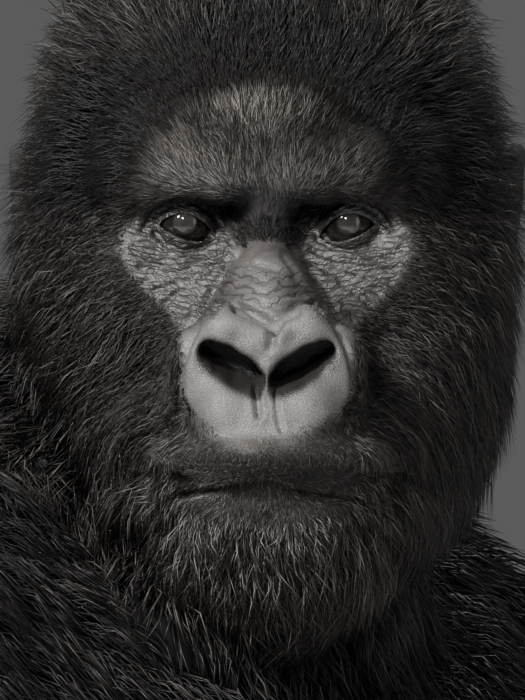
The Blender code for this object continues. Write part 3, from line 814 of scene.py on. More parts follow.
FOLDS = [  # width and depth in millimetres, both sides of the face or one, and the line
    (1.7, 2.4, True, ((21, -36.5), (31, -46), (35.5, -57), (38.5, -68), (39, -79), (36, -85.5))),
    (1.7, 0.9, True, ((19, -24), (27, -36), (34, -47), (40, -58))),
    (3.4, 0.6, True, ((38, -84), (32, -91), (22, -97.5), (9, -99.5), (0, -98))),
    (1.2, 1.1, False, ((-12, -32), (-4, -37), (4, -39), (13, -37), (20, -36), (26, -39))),
    (2.4, 3.2, False, ((-13, -39), (-6, -41.6), (3.4, -47.8))),
    (2.0, 2.6, False, ((13, -40.7), (7.4, -43.5), (3.8, -47.8))),
    (1.8, 2.8, False, ((3.0, -47.8), (1.8, -56))),
    (1.3, 1.5, False, ((-20, -25.7), (-9.5, -23.8), (-1, -27.5))),
    (1.3, 1.5, False, ((6.5, -27.5), (18.7, -31.3), (27, -37))),
    (1.3, 1.3, False, ((-15, -30), (-5, -31.5), (8, -33), (17, -34))),
    (1.2, 1.0, False, ((-9, -19), (0, -20.5), (9, -24), (16, -27))),
    (1.6, 0.9, True, ((7.4, -15.3), (13, -24.7), (20.6, -30.4), (27.2, -37), (32, -44.5))),
    (1.7, 1.5, True, ((17, -16), (19, -22), (23, -27.5), (27.4, -35), (29.5, -39))),
    (1.4, 1.9, True, ((20.5, -12.5), (32, -16.5), (43, -18), (55, -16), (61, -12))),
    (1.3, 1.8, True, ((20, -18), (31, -20.5), (45, -23), (58, -20.5))),
    (1.2, 1.5, True, ((18, -15.3), (27, -22), (41, -27.5), (51, -31))),
    (1.1, 1.4, True, ((23, -7.5), (30, -11.5), (38, -12.8), (46, -10), (51, -4))),
    (1.2, 1.3, True, ((33, -27), (42, -33), (47, -38))),
    (1.5, 1.5, True, ((15, -10.6), (18, -4), (22.5, 2), (31.9, 9.4), (41.3, 9), (51, 4), (56, -3))),
    (1.1, 0.8, True, ((40, -30), (47, -24), (57, -27))),
    (1.3, 3.0, False, ((-5.0, -76), (-3.6, -86.8))),
    (1.0, 1.6, False, ((3.8, -77), (5.1, -88.7), (6.5, -93.4))),
    (1.7, 3.4, False, ((-40, -122.6), (-29, -120.7), (-13, -116.8), (1, -115.7), (10, -118),
                       (19, -121.2), (33, -123), (42, -124.5))),
    (1.5, 2.0, False, ((-47, -124), (-42, -123))),
    (1.5, 2.0, False, ((44, -125), (49, -126.5))),
]
LOBES = (  # x, z, radius and rise of soft swellings, on both sides
    (20, -86, 15, 2.4), (31, -66, 12, 1.6), (12, -54, 11, 1.2), (38, -16, 9, 1.2), (16, -108, 16, 1.2),
    (0, -128, 24, 1.6), (26, -130, 16, 1.2), (9, -22, 6, 0.7), (13, -52, 7, -1.6),
)


def sculpted(points, triangles):
    """The face with its folds pressed in and its swellings raised along the normals."""
    q = to_head(points)
    face = np.nonzero((np.abs(q[:, 0]) < 75.0) & (q[:, 2] > -150.0) & (q[:, 2] < 25.0)
                      & (q[:, 1] < 20.0))[0]
    out = normals_of(points, triangles)[face]
    flat = q[face][:, [0, 2]]
    both = np.stack([np.abs(flat[:, 0]), flat[:, 1]], axis=1)
    move = np.zeros(len(face))
    for width, depth, sides, line in FOLDS:
        gap = line_gap(both if sides else flat, line)
        move -= depth * np.exp(-(gap / width) ** 2)
        move += 0.14 * depth * np.exp(-((gap - 2.1 * width) / (1.3 * width)) ** 2)
    for x, z, radius, rise in LOBES:
        gap = np.hypot(both[:, 0] - x, both[:, 1] - z)
        move += rise * np.exp(-(gap / (0.65 * radius)) ** 2)
    open_air = smooth(-0.2, 0.35, -out[:, 1])
    points = points.copy()
    points[face] += out * (move * open_air * MM)[:, None]
    return points


# The coat.

HAIR = {"upper_arm": 58, "forearm": 60, "chest": 40, "belly": 42, "rump": 32, "thigh": 46,
        "shank": 42, "neck": 50, "hand": 12, "foot": 12}
LEAST_HEIGHT = 2.5
BODY_DARK = 0.28
DIGIT_FUR = 0.65
ROOT_DEPTH = 0.0006
FLOOR_GAP = 0.0008
BAKE_PATCH = 0.003


def kind_ways():
    """For each solid, the way that its hair lies."""
    down = np.array([0.0, 0.0, -1.0])
    ways = {name: down for name in frame["nodes"]}
    for side in SIDES:
        arm, fore, hand, thigh, shank, foot = (
            middle_of(kind + "_" + side)
            for kind in ("upper_arm", "forearm", "hand", "thigh", "shank", "foot"))
        pairs = {"upper_arm": fore - arm, "forearm": (fore - hand) * 0.6 + down * 0.25,
                 "hand": hand - fore, "thigh": shank - thigh, "shank": foot - shank,
                 "foot": foot - shank}
        for kind, way in pairs.items():
            ways[kind + "_" + side] = way / np.linalg.norm(way)
    return ways


def grey_and_highlight_share(q, gap):
    """1 on the greyest hair of the head: the brow, the lips and the chin, with painted highlights on
    the top of the forehead and on the bumps of the brow.
    """
    across, up = np.abs(q[:, 0]), q[:, 2]
    # Painted highlights: the top of the forehead and the bumps of the brow are lightened.
    top = spot(across, up, 0.0, 52.0, 30.0, 20.0)
    lobe_highlights = spot(across, up, 38.0, 27.0, 17.0, 11.0)
    brow = brow_share(q) * (0.16 + 0.84 * top + 0.22 * lobe_highlights)
    chin = spot(across, up, 0.0, -150.0, 52.0, 24.0) * (q[:, 1] < 0.0)
    aside = spot(across, up, 36.0, -106.0, 12.0, 12.0)
    lips = stubble_share(q) * (0.28 + 0.50 * (1.0 - smooth(-124.0, -116.0, up)) + 0.32 * aside
                               + 0.40 * np.exp(-(gap / 5.0) ** 2))
    return np.maximum(brow + lips, 0.45 * chin)


def coat_plan(points, triangles, owner):
    """For each point of the skin: the way, length, height and looks of the hair, how wild it is,
    how much of the skin it hides, the way out of the skin, and whether it is on the head."""
    links, _ = edges_of(triangles)
    out = normals_of(points, triangles)
    q = to_head(points)
    on_head = np.array([name in ("head", "lower_jaw") or name.startswith(("ear", "eye"))
                        for name in owner])
    stubble = stubble_share(q)
    ways = kind_ways()
    way = np.array([ways[name] for name in owner])
    way[on_head] = head_flow(q[on_head])
    way = relaxed(way, links, 10)
    way = unit(way - out * (way * out).sum(axis=1)[:, None])

    length = np.array([HAIR.get(name.rsplit("_", 1)[0], 0) for name in owner], float)
    length[on_head] = head_length(q[on_head])
    height = np.array([COAT_DEPTH.get(kind_of(name), LEAST_HEIGHT) for name in owner], float)
    height[on_head] = np.maximum(head_coat(q[on_head]), 0.30 * length[on_head])
    height[on_head] += crown_side(q[on_head]) + 0.10 * stubble[on_head] * length[on_head]
    left = taper(points, owner)
    height = np.maximum(height * left, LEAST_HEIGHT)
    length *= 0.45 + 0.55 * left
    length[np.array([is_digit(name) for name in owner])] = 0.0
    near = relaxed(np.stack([length, height], axis=1), links, 6)
    wide = relaxed(near, links, 14)
    length, height = np.where(on_head[:, None], near, wide).T
    gap = np.where(on_head, bare_gap(q), 50.0)
    length[on_head & (gap < 0.5)] = 0.0
    grey = np.where(on_head, grey_and_highlight_share(q, gap), 0.0)
    # dark holds the painted shade on the arc behind the brow, and darker hair elsewhere.
    dark = np.where(on_head, arc_shade_and_dark_root(q), BODY_DARK)
    shade = relaxed(np.stack([grey, silver_share(points), dark], axis=1), links, 4)
    wild = relaxed(np.where(on_head, 1.0, 0.0)[:, None], links, 6)[:, 0]
    furred = np.where(on_head, smooth(-0.5, 4.5 + 4.0 * stubble, gap) * (length > 0.5),
                      np.clip(length / 8.0, DIGIT_FUR, 1.0))
    return {"way": way, "out": out, "length": length * MM, "height": height * MM,
            "grey": shade[:, 0], "silver": shade[:, 1], "dark": shade[:, 2], "wild": wild,
            "furred": furred, "head": on_head}


def scattered(points, triangles, spacing, rng):
    """Random places on the surface, about spacing apart, none where it is 0: the triangle of
    each and its shares of the corners."""
    corners = points[triangles]
    area = np.linalg.norm(np.cross(corners[:, 1] - corners[:, 0], corners[:, 2] - corners[:, 0]),
                          axis=1) / 2.0
    wanted = np.where(spacing > 0.0, area / np.maximum(spacing, 1e-4) ** 2, 0.0)
    count = np.floor(wanted + rng.random(len(wanted))).astype(int)
    which = np.repeat(np.arange(len(triangles)), count)
    first, second = rng.random(len(which)), rng.random(len(which))
    fold = first + second > 1.0
    first[fold], second[fold] = 1.0 - first[fold], 1.0 - second[fold]
    return which, np.stack([1.0 - first - second, first, second], axis=1)


def locks_of(roots, tips, size, rng):
    """How far the tip and the root of the tuft at the middle of its lock are from each tuft's."""
    leaders = rng.choice(len(roots), max(1, int(len(roots) / size)), replace=False)
    tree = KDTree(len(leaders))
    for place, leader in enumerate(leaders):
        tree.insert(roots[leader], place)
    tree.balance()
    led = np.array([leaders[tree.find(root)[1]] for root in roots.tolist()])
    return tips[led] - tips, roots[led] - roots


def tuft_faces(rings):
    """The triangles of one tuft: rings of three points, then its tip."""
    faces = []
    for low in range(0, 3 * (rings - 1), 3):
        high = low + 3
        for corner in range(3):
            after = (corner + 1) % 3
            faces += [(low + corner, low + after, high + corner),
                      (low + after, high + after, high + corner)]
    low = 3 * (rings - 1)
    faces += [(low + corner, low + (corner + 1) % 3, 3 * rings) for corner in range(3)]
    return np.array(faces)


def tufts(name, skin, plan, spacing, width, rings, seed, lock=14, gather=0.45):
    """A joined mesh of tapered three-sided tufts, with their shades and their places to bake.
    The spacing is for each triangle of the skin, and the width a share of it."""
    rng = np.random.default_rng(seed)
    points, triangles, unwrap = skin
    spacing = spacing * 1.0
    which, shares = scattered(points, triangles, spacing, rng)
    count = len(which)

    def at(values):
        found = values[triangles[which]]
        return (found * shares.reshape(*shares.shape, *[1] * (found.ndim - 2))).sum(axis=1)

    roots, out, way = at(points), unit(at(plan["out"])), at(plan["way"])
    length, height, wild = at(plan["length"]), at(plan["height"]), at(plan["wild"])
    across = np.cross(out, way)
    wave = np.sin(roots @ (rng.normal(size=3) * 90.0)) + np.sin(roots @ (rng.normal(size=3) * 170.0))
    turn = 0.16 * wave + rng.normal(size=count) * (0.16 + 0.16 * wild)
    way = unit(way * np.cos(turn)[:, None] + across * np.sin(turn)[:, None])
    across = np.cross(out, way)
    length = length * rng.uniform(0.72, 1.12, count)
    height = height * (rng.uniform(0.55, 1.15, count) + 0.15 * wild * rng.normal(size=count))
    reach = np.sqrt(np.maximum(length ** 2 - height ** 2, (0.5 * length) ** 2))
    tips = roots + way * reach[:, None] + out * height[:, None]
    pull, shift = locks_of(roots, tips, lock, rng)
    pull = pull * gather
    pull[np.linalg.norm(shift, axis=1) > 0.5 * length + 0.004] = 0.0
    bend = rng.normal(size=count) * (0.05 + 0.02 * wild) * length
    turned = rng.uniform(0.0, 2.0 * math.pi, count)
    thick = width * spacing[which] * rng.uniform(0.7, 1.25, count)

    rows = []
    for ring in range(rings + 1):
        s = ring / rings
        middle = (roots - out * ROOT_DEPTH + way * (reach * s * (0.6 + 0.4 * s))[:, None]
                  + out * (height * s * (1.9 - 0.9 * s))[:, None]
                  + pull * s ** 1.7 + across * (bend * math.sin(math.pi * s))[:, None])
        if ring == rings:
            rows.append(middle)
            break
        radius = thick / 2.0 * (1.0 - s) ** 0.6
        for corner in range(3):
            angle = turned + corner * 2.0 * math.pi / 3.0
            rows.append(middle + across * (radius * np.cos(angle))[:, None]
                        + out * (radius * 0.6 * np.sin(angle))[:, None])
    spots = np.stack(rows, axis=1)
    spots[..., 2] = np.maximum(spots[..., 2], FLOOR_GAP)
    each = len(rows)
    faces = (np.arange(count)[:, None, None] * each + tuft_faces(rings)[None]).reshape(-1, 3)
    mesh = make_mesh(name, spots.reshape(-1, 3), faces)

    along = np.append(np.repeat(np.arange(rings), 3), rings) / rings
    patch = np.stack([along, (np.arange(each) % 3) / 2.0], axis=1) * BAKE_PATCH - BAKE_PATCH / 2.0
    corners = (at(unwrap)[:, None] + patch[None]).reshape(-1, 2)[faces.ravel()]
    layer = mesh.uv_layers.new(name="OFBake")
    layer.data.foreach_set("uv", np.asarray(corners, np.float32).ravel())
    # Tufts are darkened by dark, which holds painted shade on the arc behind the brow.
    tone = rng.random(count) * (1.0 - at(plan["dark"]))
    whole = np.ones((count, each))
    add_values(mesh, grey=whole * at(plan["grey"])[:, None],
               silver=whole * at(plan["silver"])[:, None],
               tone=whole * tone[:, None], along=whole * along)
    return finish_piece(name, mesh, "coat")


def add_values(mesh, **columns):
    """Named numbers for each point of the mesh."""
    for title, values in columns.items():
        layer = mesh.attributes.new(title, "FLOAT", "POINT")
        layer.data.foreach_set("value", np.ascontiguousarray(values, np.float32).ravel())


def finish_piece(name, mesh, finish):
    thing = add_object(name, mesh)
    mesh.materials.append(MATERIALS[finish])
    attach(thing, "root")
    return thing


# Materials.

def material(name, colour, roughness):
    made = bpy.data.materials.new(name)
    made.use_nodes = True
    shader = made.node_tree.nodes["Principled BSDF"]
    shader.inputs["Base Color"].default_value = (*colour, 1.0)
    shader.inputs["Roughness"].default_value = roughness
    return made, made.node_tree, shader


def feed(tree, socket, value):
    """Links the value to the input where it is an output, and sets it where it is a number."""
    if isinstance(value, bpy.types.NodeSocket):
        tree.links.new(value, socket)
    else:
        socket.default_value = (*value, 1.0) if socket.type == "RGBA" else value


def add_node(tree, kind, inputs=(), **settings):
    node = tree.nodes.new(kind)
    for key, value in settings.items():
        setattr(node, key, value)
    for key, value in dict(inputs).items():
        feed(tree, node.inputs[key], value)
    return node


def mixed(tree, factor, first, second):
    """A colour from first to second by the factor."""
    inputs = {0: factor, 6: first, 7: second}
    return add_node(tree, "ShaderNodeMix", inputs, data_type="RGBA").outputs[2]


def mixed_value(tree, factor, first, second):
    return add_node(tree, "ShaderNodeMix", {0: factor, 2: first, 3: second}).outputs[0]


def maths(tree, operation, *values):
    return add_node(tree, "ShaderNodeMath", enumerate(values), operation=operation).outputs[0]


def attribute(tree, name):
    return add_node(tree, "ShaderNodeAttribute", attribute_name=name).outputs["Fac"]


def ranged(tree, value, low, high, to_low=0.0, to_high=1.0):
    return add_node(tree, "ShaderNodeMapRange", {
        "Value": value, "From Min": low, "From Max": high, "To Min": to_low,
        "To Max": to_high}).outputs[0]


def noise(tree, scale, detail=3.0, roughness=0.5):
    place = add_node(tree, "ShaderNodeTexCoord").outputs["Object"]
    return add_node(tree, "ShaderNodeTexNoise", {
        "Vector": place, "Scale": scale, "Detail": detail,
        "Roughness": roughness}).outputs["Fac"]


BLACK_HAIR = (0.0060, 0.0050, 0.0046)
BROWN_HAIR = (0.088, 0.076, 0.070)
DARK_GREY_HAIR = (0.022, 0.019, 0.017)
GREY_HAIR = (0.400, 0.370, 0.340)
DARK_SILVER_HAIR = (0.10, 0.095, 0.088)
SILVER_HAIR = (0.36, 0.345, 0.32)
SKIN_DARK = (0.036, 0.032, 0.030)
SKIN_PALE = (0.118, 0.108, 0.101)
SKIN_PAD = (0.145, 0.136, 0.128)
SKIN_PAD_DARK = (0.075, 0.070, 0.066)
# Dark skin round the eyes, with painted shade under the brow and round the nostrils.
SKIN_DARK_AND_SHADE = (0.012, 0.010, 0.0095)
# Painted shade in the creases of the skin.
SKIN_CREASE_SHADE = (0.006, 0.005, 0.0045)
SKIN_BUMP = 0.00052
PUPIL = (0.018, 0.016, 0.0145)
IRIS_DARK, IRIS_LIGHT = (0.013, 0.0115, 0.0105), (0.030, 0.027, 0.0245)
IRIS_RIM = (0.006, 0.005, 0.0045)
SCLERA = (0.008, 0.0065, 0.006)
NAIL_DARK, NAIL_LIGHT = (0.018, 0.015, 0.013), (0.055, 0.047, 0.041)


def hair_colour(tree):
    """Near black with lighter strands and tips, greyer on the brow, where painted highlights also
    lighten it, silver on the back.
    """
    tone, along = attribute(tree, "tone"), attribute(tree, "along")
    strand = ranged(tree, tone, 0.50, 1.0)
    light = maths(tree, "MULTIPLY", strand, ranged(tree, along, 0.0, 0.6, 0.30, 1.0))
    base = mixed(tree, light, BLACK_HAIR, BROWN_HAIR)
    grey = mixed(tree, light, DARK_GREY_HAIR, GREY_HAIR)
    # The grey attribute also carries painted highlights on the forehead and the bumps of the brow.
    base = mixed(tree, attribute(tree, "grey"), base, grey)
    silver = mixed(tree, tone, DARK_SILVER_HAIR, SILVER_HAIR)
    return mixed(tree, attribute(tree, "silver"), base, silver)


def coat_material():
    made, tree, shader = material("coat", BLACK_HAIR, 0.52)
    shader.inputs["Specular IOR Level"].default_value = 0.35
    feed(tree, shader.inputs["Base Color"], hair_colour(tree))
    return made


def face_place(tree, turn, stretch, warp):
    """Places on the head in millimetres, the same on both sides, warped, turned, stretched."""
    place = add_node(tree, "ShaderNodeTexCoord").outputs["Object"]
    head = add_node(tree, "ShaderNodeMapping", {
        "Vector": place, "Location": tuple(-BETWEEN_EYES / MM),
        "Scale": (1.0 / MM,) * 3}).outputs[0]
    wobble = add_node(tree, "ShaderNodeTexNoise", {"Vector": head, "Scale": 0.10, "Detail": 2.0})
    x, y, z = add_node(tree, "ShaderNodeSeparateXYZ", {0: head}).outputs
    mirrored = add_node(tree, "ShaderNodeCombineXYZ", {0: maths(tree, "ABSOLUTE", x), 1: y, 2: z})
    added = add_node(tree, "ShaderNodeVectorMath", {
        0: wobble.outputs["Color"], 1: (warp,) * 3, 2: mirrored.outputs[0]},
        operation="MULTIPLY_ADD")
    spun = add_node(tree, "ShaderNodeMapping", {
        "Vector": added.outputs[0], "Rotation": (0.0, math.radians(turn), 0.0)})
    return add_node(tree, "ShaderNodeMapping", {
        "Vector": spun.outputs[0], "Scale": stretch}).outputs[0]


def cells(tree, vector, scale, width):
    """0 in the cracks between cells, 1 on them."""
    node = add_node(tree, "ShaderNodeTexVoronoi", {"Vector": vector, "Scale": scale},
                    feature="DISTANCE_TO_EDGE")
    return ranged(tree, node.outputs["Distance"], 0.0, width)


def waves(tree, vector, scale, distortion):
    return add_node(tree, "ShaderNodeTexWave", {
        "Vector": vector, "Scale": scale, "Distortion": distortion, "Detail": 3.0,
        "Detail Scale": 1.2}, bands_direction="Z").outputs["Fac"]


def skin_relief(tree):
    """The height of the skin's creases: 0 in them and about 1 between them."""
    long_cells = cells(tree, face_place(tree, 8.0, (0.15, 0.4, 1.0), 6.0), 0.40, 0.17)
    cross_cells = cells(tree, face_place(tree, 48.0, (0.20, 0.4, 1.0), 6.0), 0.37, 0.14)
    small_cells = cells(tree, face_place(tree, 0.0, (0.8, 1.0, 1.0), 2.0), 0.95, 0.30)
    folds = ranged(tree, waves(tree, face_place(tree, 20.0, (0.7, 0.3, 1.0), 8.0), 0.075, 9.0),
                   0.0, 0.28)
    wrinkled = maths(tree, "MULTIPLY", long_cells, ranged(tree, cross_cells, 0.0, 1.0, 0.35, 1.0))
    wrinkled = mixed_value(tree, attribute(tree, "cheek"), 1.0, wrinkled)
    folded = mixed_value(tree, attribute(tree, "bridge"), 1.0, folds)
    relief = maths(tree, "MULTIPLY", wrinkled, folded)
    leathery = maths(tree, "MULTIPLY_ADD", small_cells, 0.22, 0.78)
    relief = maths(tree, "MULTIPLY", relief, leathery)
    return mixed_value(tree, attribute(tree, "furred"), relief, 1.0)


def skin_material():
    made, tree, shader = material("skin", SKIN_DARK, 0.45)
    shader.inputs["Specular IOR Level"].default_value = 0.55
    relief = skin_relief(tree)
    patches = ranged(tree, noise(tree, 70.0, 5.0, 0.6), 0.30, 0.72)
    bare = mixed(tree, patches, SKIN_DARK, SKIN_PALE)
    speckle = ranged(tree, noise(tree, 1300.0, 3.0, 0.7), 0.36, 0.64)
    pale = mixed(tree, speckle, SKIN_PAD_DARK, SKIN_PAD)
    bare = mixed(tree, maths(tree, "MULTIPLY", attribute(tree, "pad"), 0.85), bare, pale)
    # Darker skin round the eyes, with painted shade under the brow and round the nostrils.
    bare = mixed(tree, attribute(tree, "socket"), bare, SKIN_DARK_AND_SHADE)
    # Painted shade in the creases, by the depth of the skin's relief.
    bare = mixed(tree, relief, SKIN_CREASE_SHADE, bare)
    feed(tree, shader.inputs["Base Color"],
         mixed(tree, attribute(tree, "furred"), bare, hair_colour(tree)))
    rough = ranged(tree, noise(tree, 260.0), 0.3, 0.7, 0.34, 0.50)
    feed(tree, shader.inputs["Roughness"],
         mixed_value(tree, attribute(tree, "furred"), rough, 0.92))
    height = maths(tree, "MULTIPLY_ADD", noise(tree, 1200.0, 4.0, 0.6), 0.55, relief)
    bump = add_node(tree, "ShaderNodeBump", {
        "Height": height, "Distance": SKIN_BUMP, "Strength": 1.0})
    feed(tree, shader.inputs["Normal"], bump.outputs["Normal"])
    return made


def eye_material():
    """By the distance from the eye's axis: pupil, iris, dark rim and dark sclera."""
    made, tree, shader = material("eye", (0.02, 0.014, 0.011), 0.06)
    ring = attribute(tree, "ring")
    streaks = ranged(tree, noise(tree, 900.0, 4.0, 0.7), 0.3, 0.7)
    iris = mixed(tree, streaks, IRIS_DARK, IRIS_LIGHT)
    colour = mixed(tree, ranged(tree, ring, 0.20, 0.46), PUPIL, iris)
    colour = mixed(tree, ranged(tree, ring, 0.82, 1.04), colour, IRIS_RIM)
    colour = mixed(tree, ranged(tree, ring, 1.10, 1.50), colour, SCLERA)
    feed(tree, shader.inputs["Base Color"], colour)
    return made


def nail_material():
    made, tree, shader = material("nail", (0.035, 0.030, 0.027), 0.32)
    feed(tree, shader.inputs["Base Color"], mixed(tree, noise(tree, 250.0), NAIL_DARK, NAIL_LIGHT))
    return made


MATERIALS = {"coat": coat_material(), "skin": skin_material(), "eye": eye_material(),
             "nail": nail_material(), "floor": material("floor", (0.62, 0.62, 0.62), 0.8)[0]}


def unwrapped(thing):
    """The surface's own unwrap, named OFBake, and one of its places for each point."""
    bpy.ops.object.select_all(action="DESELECT")
    thing.select_set(True)
    bpy.context.view_layer.objects.active = thing
    mesh = thing.data
    mesh.uv_layers.new(name="OFBake")
    bpy.ops.object.mode_set(mode="EDIT")
    bpy.ops.mesh.select_all(action="SELECT")
    bpy.ops.uv.smart_project(angle_limit=math.radians(66.0), island_margin=0.0008)
    bpy.ops.object.mode_set(mode="OBJECT")
    corners = np.empty(len(mesh.loops) * 2, np.float32)
    mesh.uv_layers["OFBake"].data.foreach_get("uv", corners)
    spots = np.empty(len(mesh.loops), np.int32)
    mesh.loops.foreach_get("vertex_index", spots)
    places_uv = np.zeros((len(mesh.vertices), 2))
    places_uv[spots] = corners.reshape(-1, 2)
    return places_uv


# Eyes, nails, light and camera.

IRIS_RADIUS, CORNEA_BULGE = 0.0058, 0.0008
EAR_DARK = 0.92
NAIL = (0.0052, 0.0068, 0.0013)
NAIL_BACK, NAIL_BEND, BIG_NAIL = 0.0095, 45.0, 1.25


def build_eye(side):
    """An eyeball with the cornea's bulge, looking along -Y."""
    ball, faces = ball_mesh(np.zeros(3), 1.0, 64)
    ball = np.stack([ball[:, 0], -ball[:, 2], ball[:, 1]], axis=1)
    off_axis = np.arccos(np.clip(-ball[:, 1], -1.0, 1.0))
    radius = EYE_RADIUS * MM + CORNEA_BULGE * (1.0 - smooth(0.34, 0.60, off_axis))
    mesh = make_mesh("eyeball_" + side, EYES[side] + ball * radius[:, None], faces)
    away = np.hypot(ball[:, 0], ball[:, 2]) * radius / IRIS_RADIUS
    add_values(mesh, ring=np.where(ball[:, 1] < 0.0, away, 3.0))
    thing = finish_piece("eyeball_" + side, mesh, "eye")
    unwrapped(thing)
    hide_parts("eye_" + side)


def nail_place(surface, digit):
    """The point of the skin at the back of the digit's tip, the way to the tip, and the way up
    out of the skin; None where there is no skin."""
    palm = palm_of(digit)
    spots = places(frame["nodes"][digit].data)
    way = spots.mean(axis=0) - palm
    along = (spots - palm) @ (way / np.linalg.norm(way))
    near, far = (along < np.quantile(along, 0.4)), (along > np.quantile(along, 0.6))
    way = spots[far].mean(axis=0) - spots[near].mean(axis=0)
    way /= np.linalg.norm(way)
    along = (spots - spots.mean(axis=0)) @ way
    tip = spots.mean(axis=0) + way * (along.max() - NAIL_BACK)
    up = np.array([0.0, 0.0, 1.0]) - way * way[2]
    up /= np.linalg.norm(up)
    place, facing, _, _ = surface.ray_cast(Vector(tip + up * 0.03), Vector(-up), 0.06)
    if place is None:
        return None
    back = np.array(facing) * (1.0 if np.array(facing) @ up > 0.0 else -1.0)
    way = way - back * (way @ back)
    way /= np.linalg.norm(way)
    return np.array(place), way, back


def build_nails(points, triangles):
    """A dark nail on the skin at the back of the tip of every finger and toe."""
    surface = BVHTree.FromPolygons(points.tolist(), triangles.tolist())
    ball, faces = ball_mesh(np.zeros(3), 1.0, 10)
    parts = []
    for name in filter(is_digit, frame["nodes"]):
        found = nail_place(surface, name)
        if found is None:
            continue
        place, way, back = found
        nail = ball * np.array(NAIL) * (BIG_NAIL if name.startswith(("thumb", "big")) else 1.0)
        nail[:, 2] -= NAIL_BEND * nail[:, 0] ** 2
        parts.append((place + nail @ np.stack([np.cross(way, back), way, back]), faces))
    unwrapped(finish_piece("nails", make_mesh("nails", *joined(parts)), "nail"))


CAMERA_DISTANCE = 3.5
VIEW_HEIGHT = 0.3178
SENSOR_HEIGHT = 24.0
FACE_SHIFT = (-0.0020, 0.0, -0.0577)
FLOOR_RADIUS, FLOOR_SIDES = 9.0, 96
LIT = BETWEEN_EYES + np.array([0.0, 0.0, -0.05])


def aimed(thing, place, target):
    thing.location = place
    thing.rotation_euler = (Vector(target) - Vector(place)).to_track_quat("-Z", "Y").to_euler()


def add_light(name, away, size, power):
    """A round lamp aimed at the face from that far away."""
    lamp = bpy.data.lights.new(name, "AREA")
    lamp.shape = "DISK"
    lamp.size = size
    lamp.energy = power
    aimed(add_object(name, lamp), LIT + np.array(away), LIT)


def build_stage():
    target = Vector(BETWEEN_EYES) + Vector(FACE_SHIFT)
    camera = bpy.data.cameras.new("camera")
    camera.sensor_fit = "VERTICAL"
    camera.sensor_height = SENSOR_HEIGHT
    camera.lens = SENSOR_HEIGHT * CAMERA_DISTANCE / VIEW_HEIGHT
    camera.clip_end = 50.0
    thing = add_object("camera", camera)
    aimed(thing, target + Vector((0.0, -CAMERA_DISTANCE, 0.0)), target)
    bpy.context.scene.camera = thing

    here = np.arange(FLOOR_SIDES)
    turn = here * 2.0 * math.pi / FLOOR_SIDES
    rim = np.stack([np.cos(turn), np.sin(turn), np.zeros(FLOOR_SIDES)], axis=1) * FLOOR_RADIUS
    faces = np.stack([here, (here + 1) % FLOOR_SIDES, np.full_like(here, FLOOR_SIDES)], axis=1)
    ground = add_object("floor", make_mesh("floor", np.concatenate([rim, np.zeros((1, 3))]), faces))
    ground.data.materials.append(MATERIALS["floor"])

    add_light("key", (-1.55, -2.1, 1.45), 0.6, 225.0)
    add_light("spark", (-0.50, -2.4, 0.85), 0.25, 26.0)
    add_light("fill", (2.4, -1.9, 0.3), 2.2, 20.0)
    add_light("top", (0.3, 1.6, 2.6), 2.0, 60.0)
    world = bpy.data.worlds.new("studio")
    world.use_nodes = True
    sky = world.node_tree.nodes["Background"]
    sky.inputs["Color"].default_value = (0.5, 0.5, 0.5, 1.0)
    sky.inputs["Strength"].default_value = 0.22
    bpy.context.scene.world = world


# The coat's pieces: the head's zones by place, and the body's by the solids they grow on.

BODY_COATS = {"coat_neck": ("neck",), "coat_chest": ("chest",), "coat_belly": ("belly",),
              "coat_rump": ("rump",)}
for limb, kinds in (("arm", ("upper_arm_", "forearm_", "hand_")),
                    ("leg", ("thigh_", "shank_", "foot_"))):
    for side in SIDES:
        BODY_COATS["coat_" + limb + "_" + side] = tuple(kind + side for kind in kinds)


def head_spacing(q, length):
    """How far apart tufts grow on the head, in millimetres."""
    near = np.clip(0.62 + 0.030 * length / MM, 0.74, 1.6)
    return near + 0.9 * smooth(50.0, 90.0, q[:, 1])


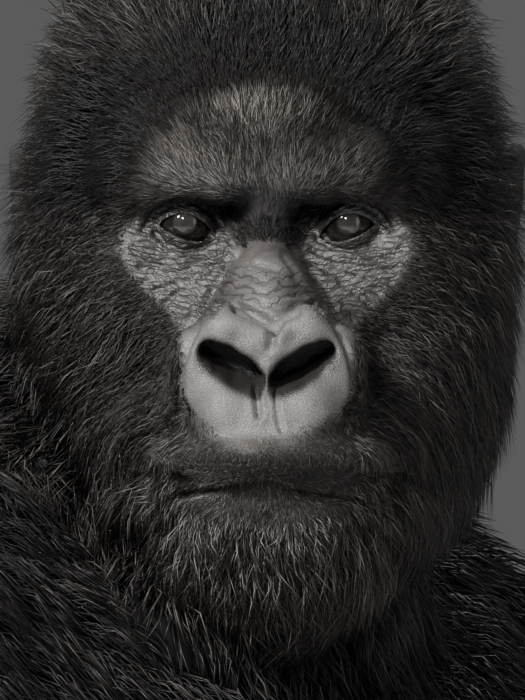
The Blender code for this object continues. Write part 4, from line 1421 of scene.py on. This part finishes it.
def build_coat(skin, plan, owner):
    points, triangles, _ = skin
    centre = points[triangles].mean(axis=1)
    q = to_head(centre)
    length = plan["length"][triangles].mean(axis=1)
    on_head = plan["head"][triangles].all(axis=1)
    haired = length > 0.0009
    thinning = 1.0 + 0.5 * (1.0 - plan["furred"][triangles].mean(axis=1))
    spacing = head_spacing(q, length) * thinning * MM
    front = q[:, 1] < 62.0
    stubble = on_head & (length < 0.0075) & (stubble_share(q) > 0.3)
    brow = on_head & (brow_reach(q) < 1.05) & (q[:, 2] > -2.0) & front & ~stubble
    left, high = q[:, 0] > 0.0, q[:, 2] > 0.0
    zones = {"crown_left": front & high & left, "crown_right": front & high & ~left,
             "cheek_left": front & ~high & left, "cheek_right": front & ~high & ~left,
             "nape": ~front}
    for seed, (zone, chosen) in enumerate(zones.items()):
        chosen = chosen & on_head & haired & ~stubble & ~brow
        tufts("coat_" + zone, skin, plan, np.where(chosen, spacing, 0.0), 0.52, 2, 11 + seed,
              lock=9, gather=0.35)
    tufts("coat_lips", skin, plan, np.where(stubble & haired, 0.00070 * thinning, 0.0), 0.50, 1,
          21, lock=3, gather=0.2)
    tufts("coat_brow", skin, plan, np.where(brow & haired, 0.00078, 0.0), 0.58, 1, 22, lock=4,
          gather=0.4)

    node = np.array(owner)[triangles[:, 0]]
    away = np.linalg.norm(centre - BETWEEN_EYES, axis=1) + np.maximum(q[:, 1], 0.0) * MM
    spacing = np.clip(0.0009 + 0.094 * length, 0.0018, 0.0056)
    spacing = np.where(haired & ~on_head, spacing * (0.66 + 0.62 * smooth(0.25, 0.60, away)), 0.0)
    for seed, (name, nodes) in enumerate(BODY_COATS.items()):
        tufts(name, skin, plan, np.where(np.isin(node, nodes), spacing, 0.0), 0.50, 2, 31 + seed)


solids = flesh()
points, triangles = build_skin(solids)
owner = nearest_owner(points, *solids)
plan = coat_plan(points, triangles, owner)
mesh = make_mesh("skin", points, triangles)
skin = finish_piece("skin_of_gorilla", mesh, "skin")
add_values(mesh, grey=plan["grey"] * 0.3, silver=plan["silver"], tone=np.full(len(points), 0.3),
           along=np.zeros(len(points)), furred=plan["furred"], **skin_masks(to_head(points)))
unwrap = unwrapped(skin)
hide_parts(*FLESH)
build_coat((points, triangles, unwrap), plan, owner)
for side in SIDES:
    build_eye(side)
    ear = make_mesh("ear_of_" + side, *ear_surface(side))
    add_values(ear, furred=np.full(len(ear.vertices), EAR_DARK))
    unwrapped(finish_piece("ear_of_" + side, ear, "skin"))
build_nails(points, triangles)
build_stage()
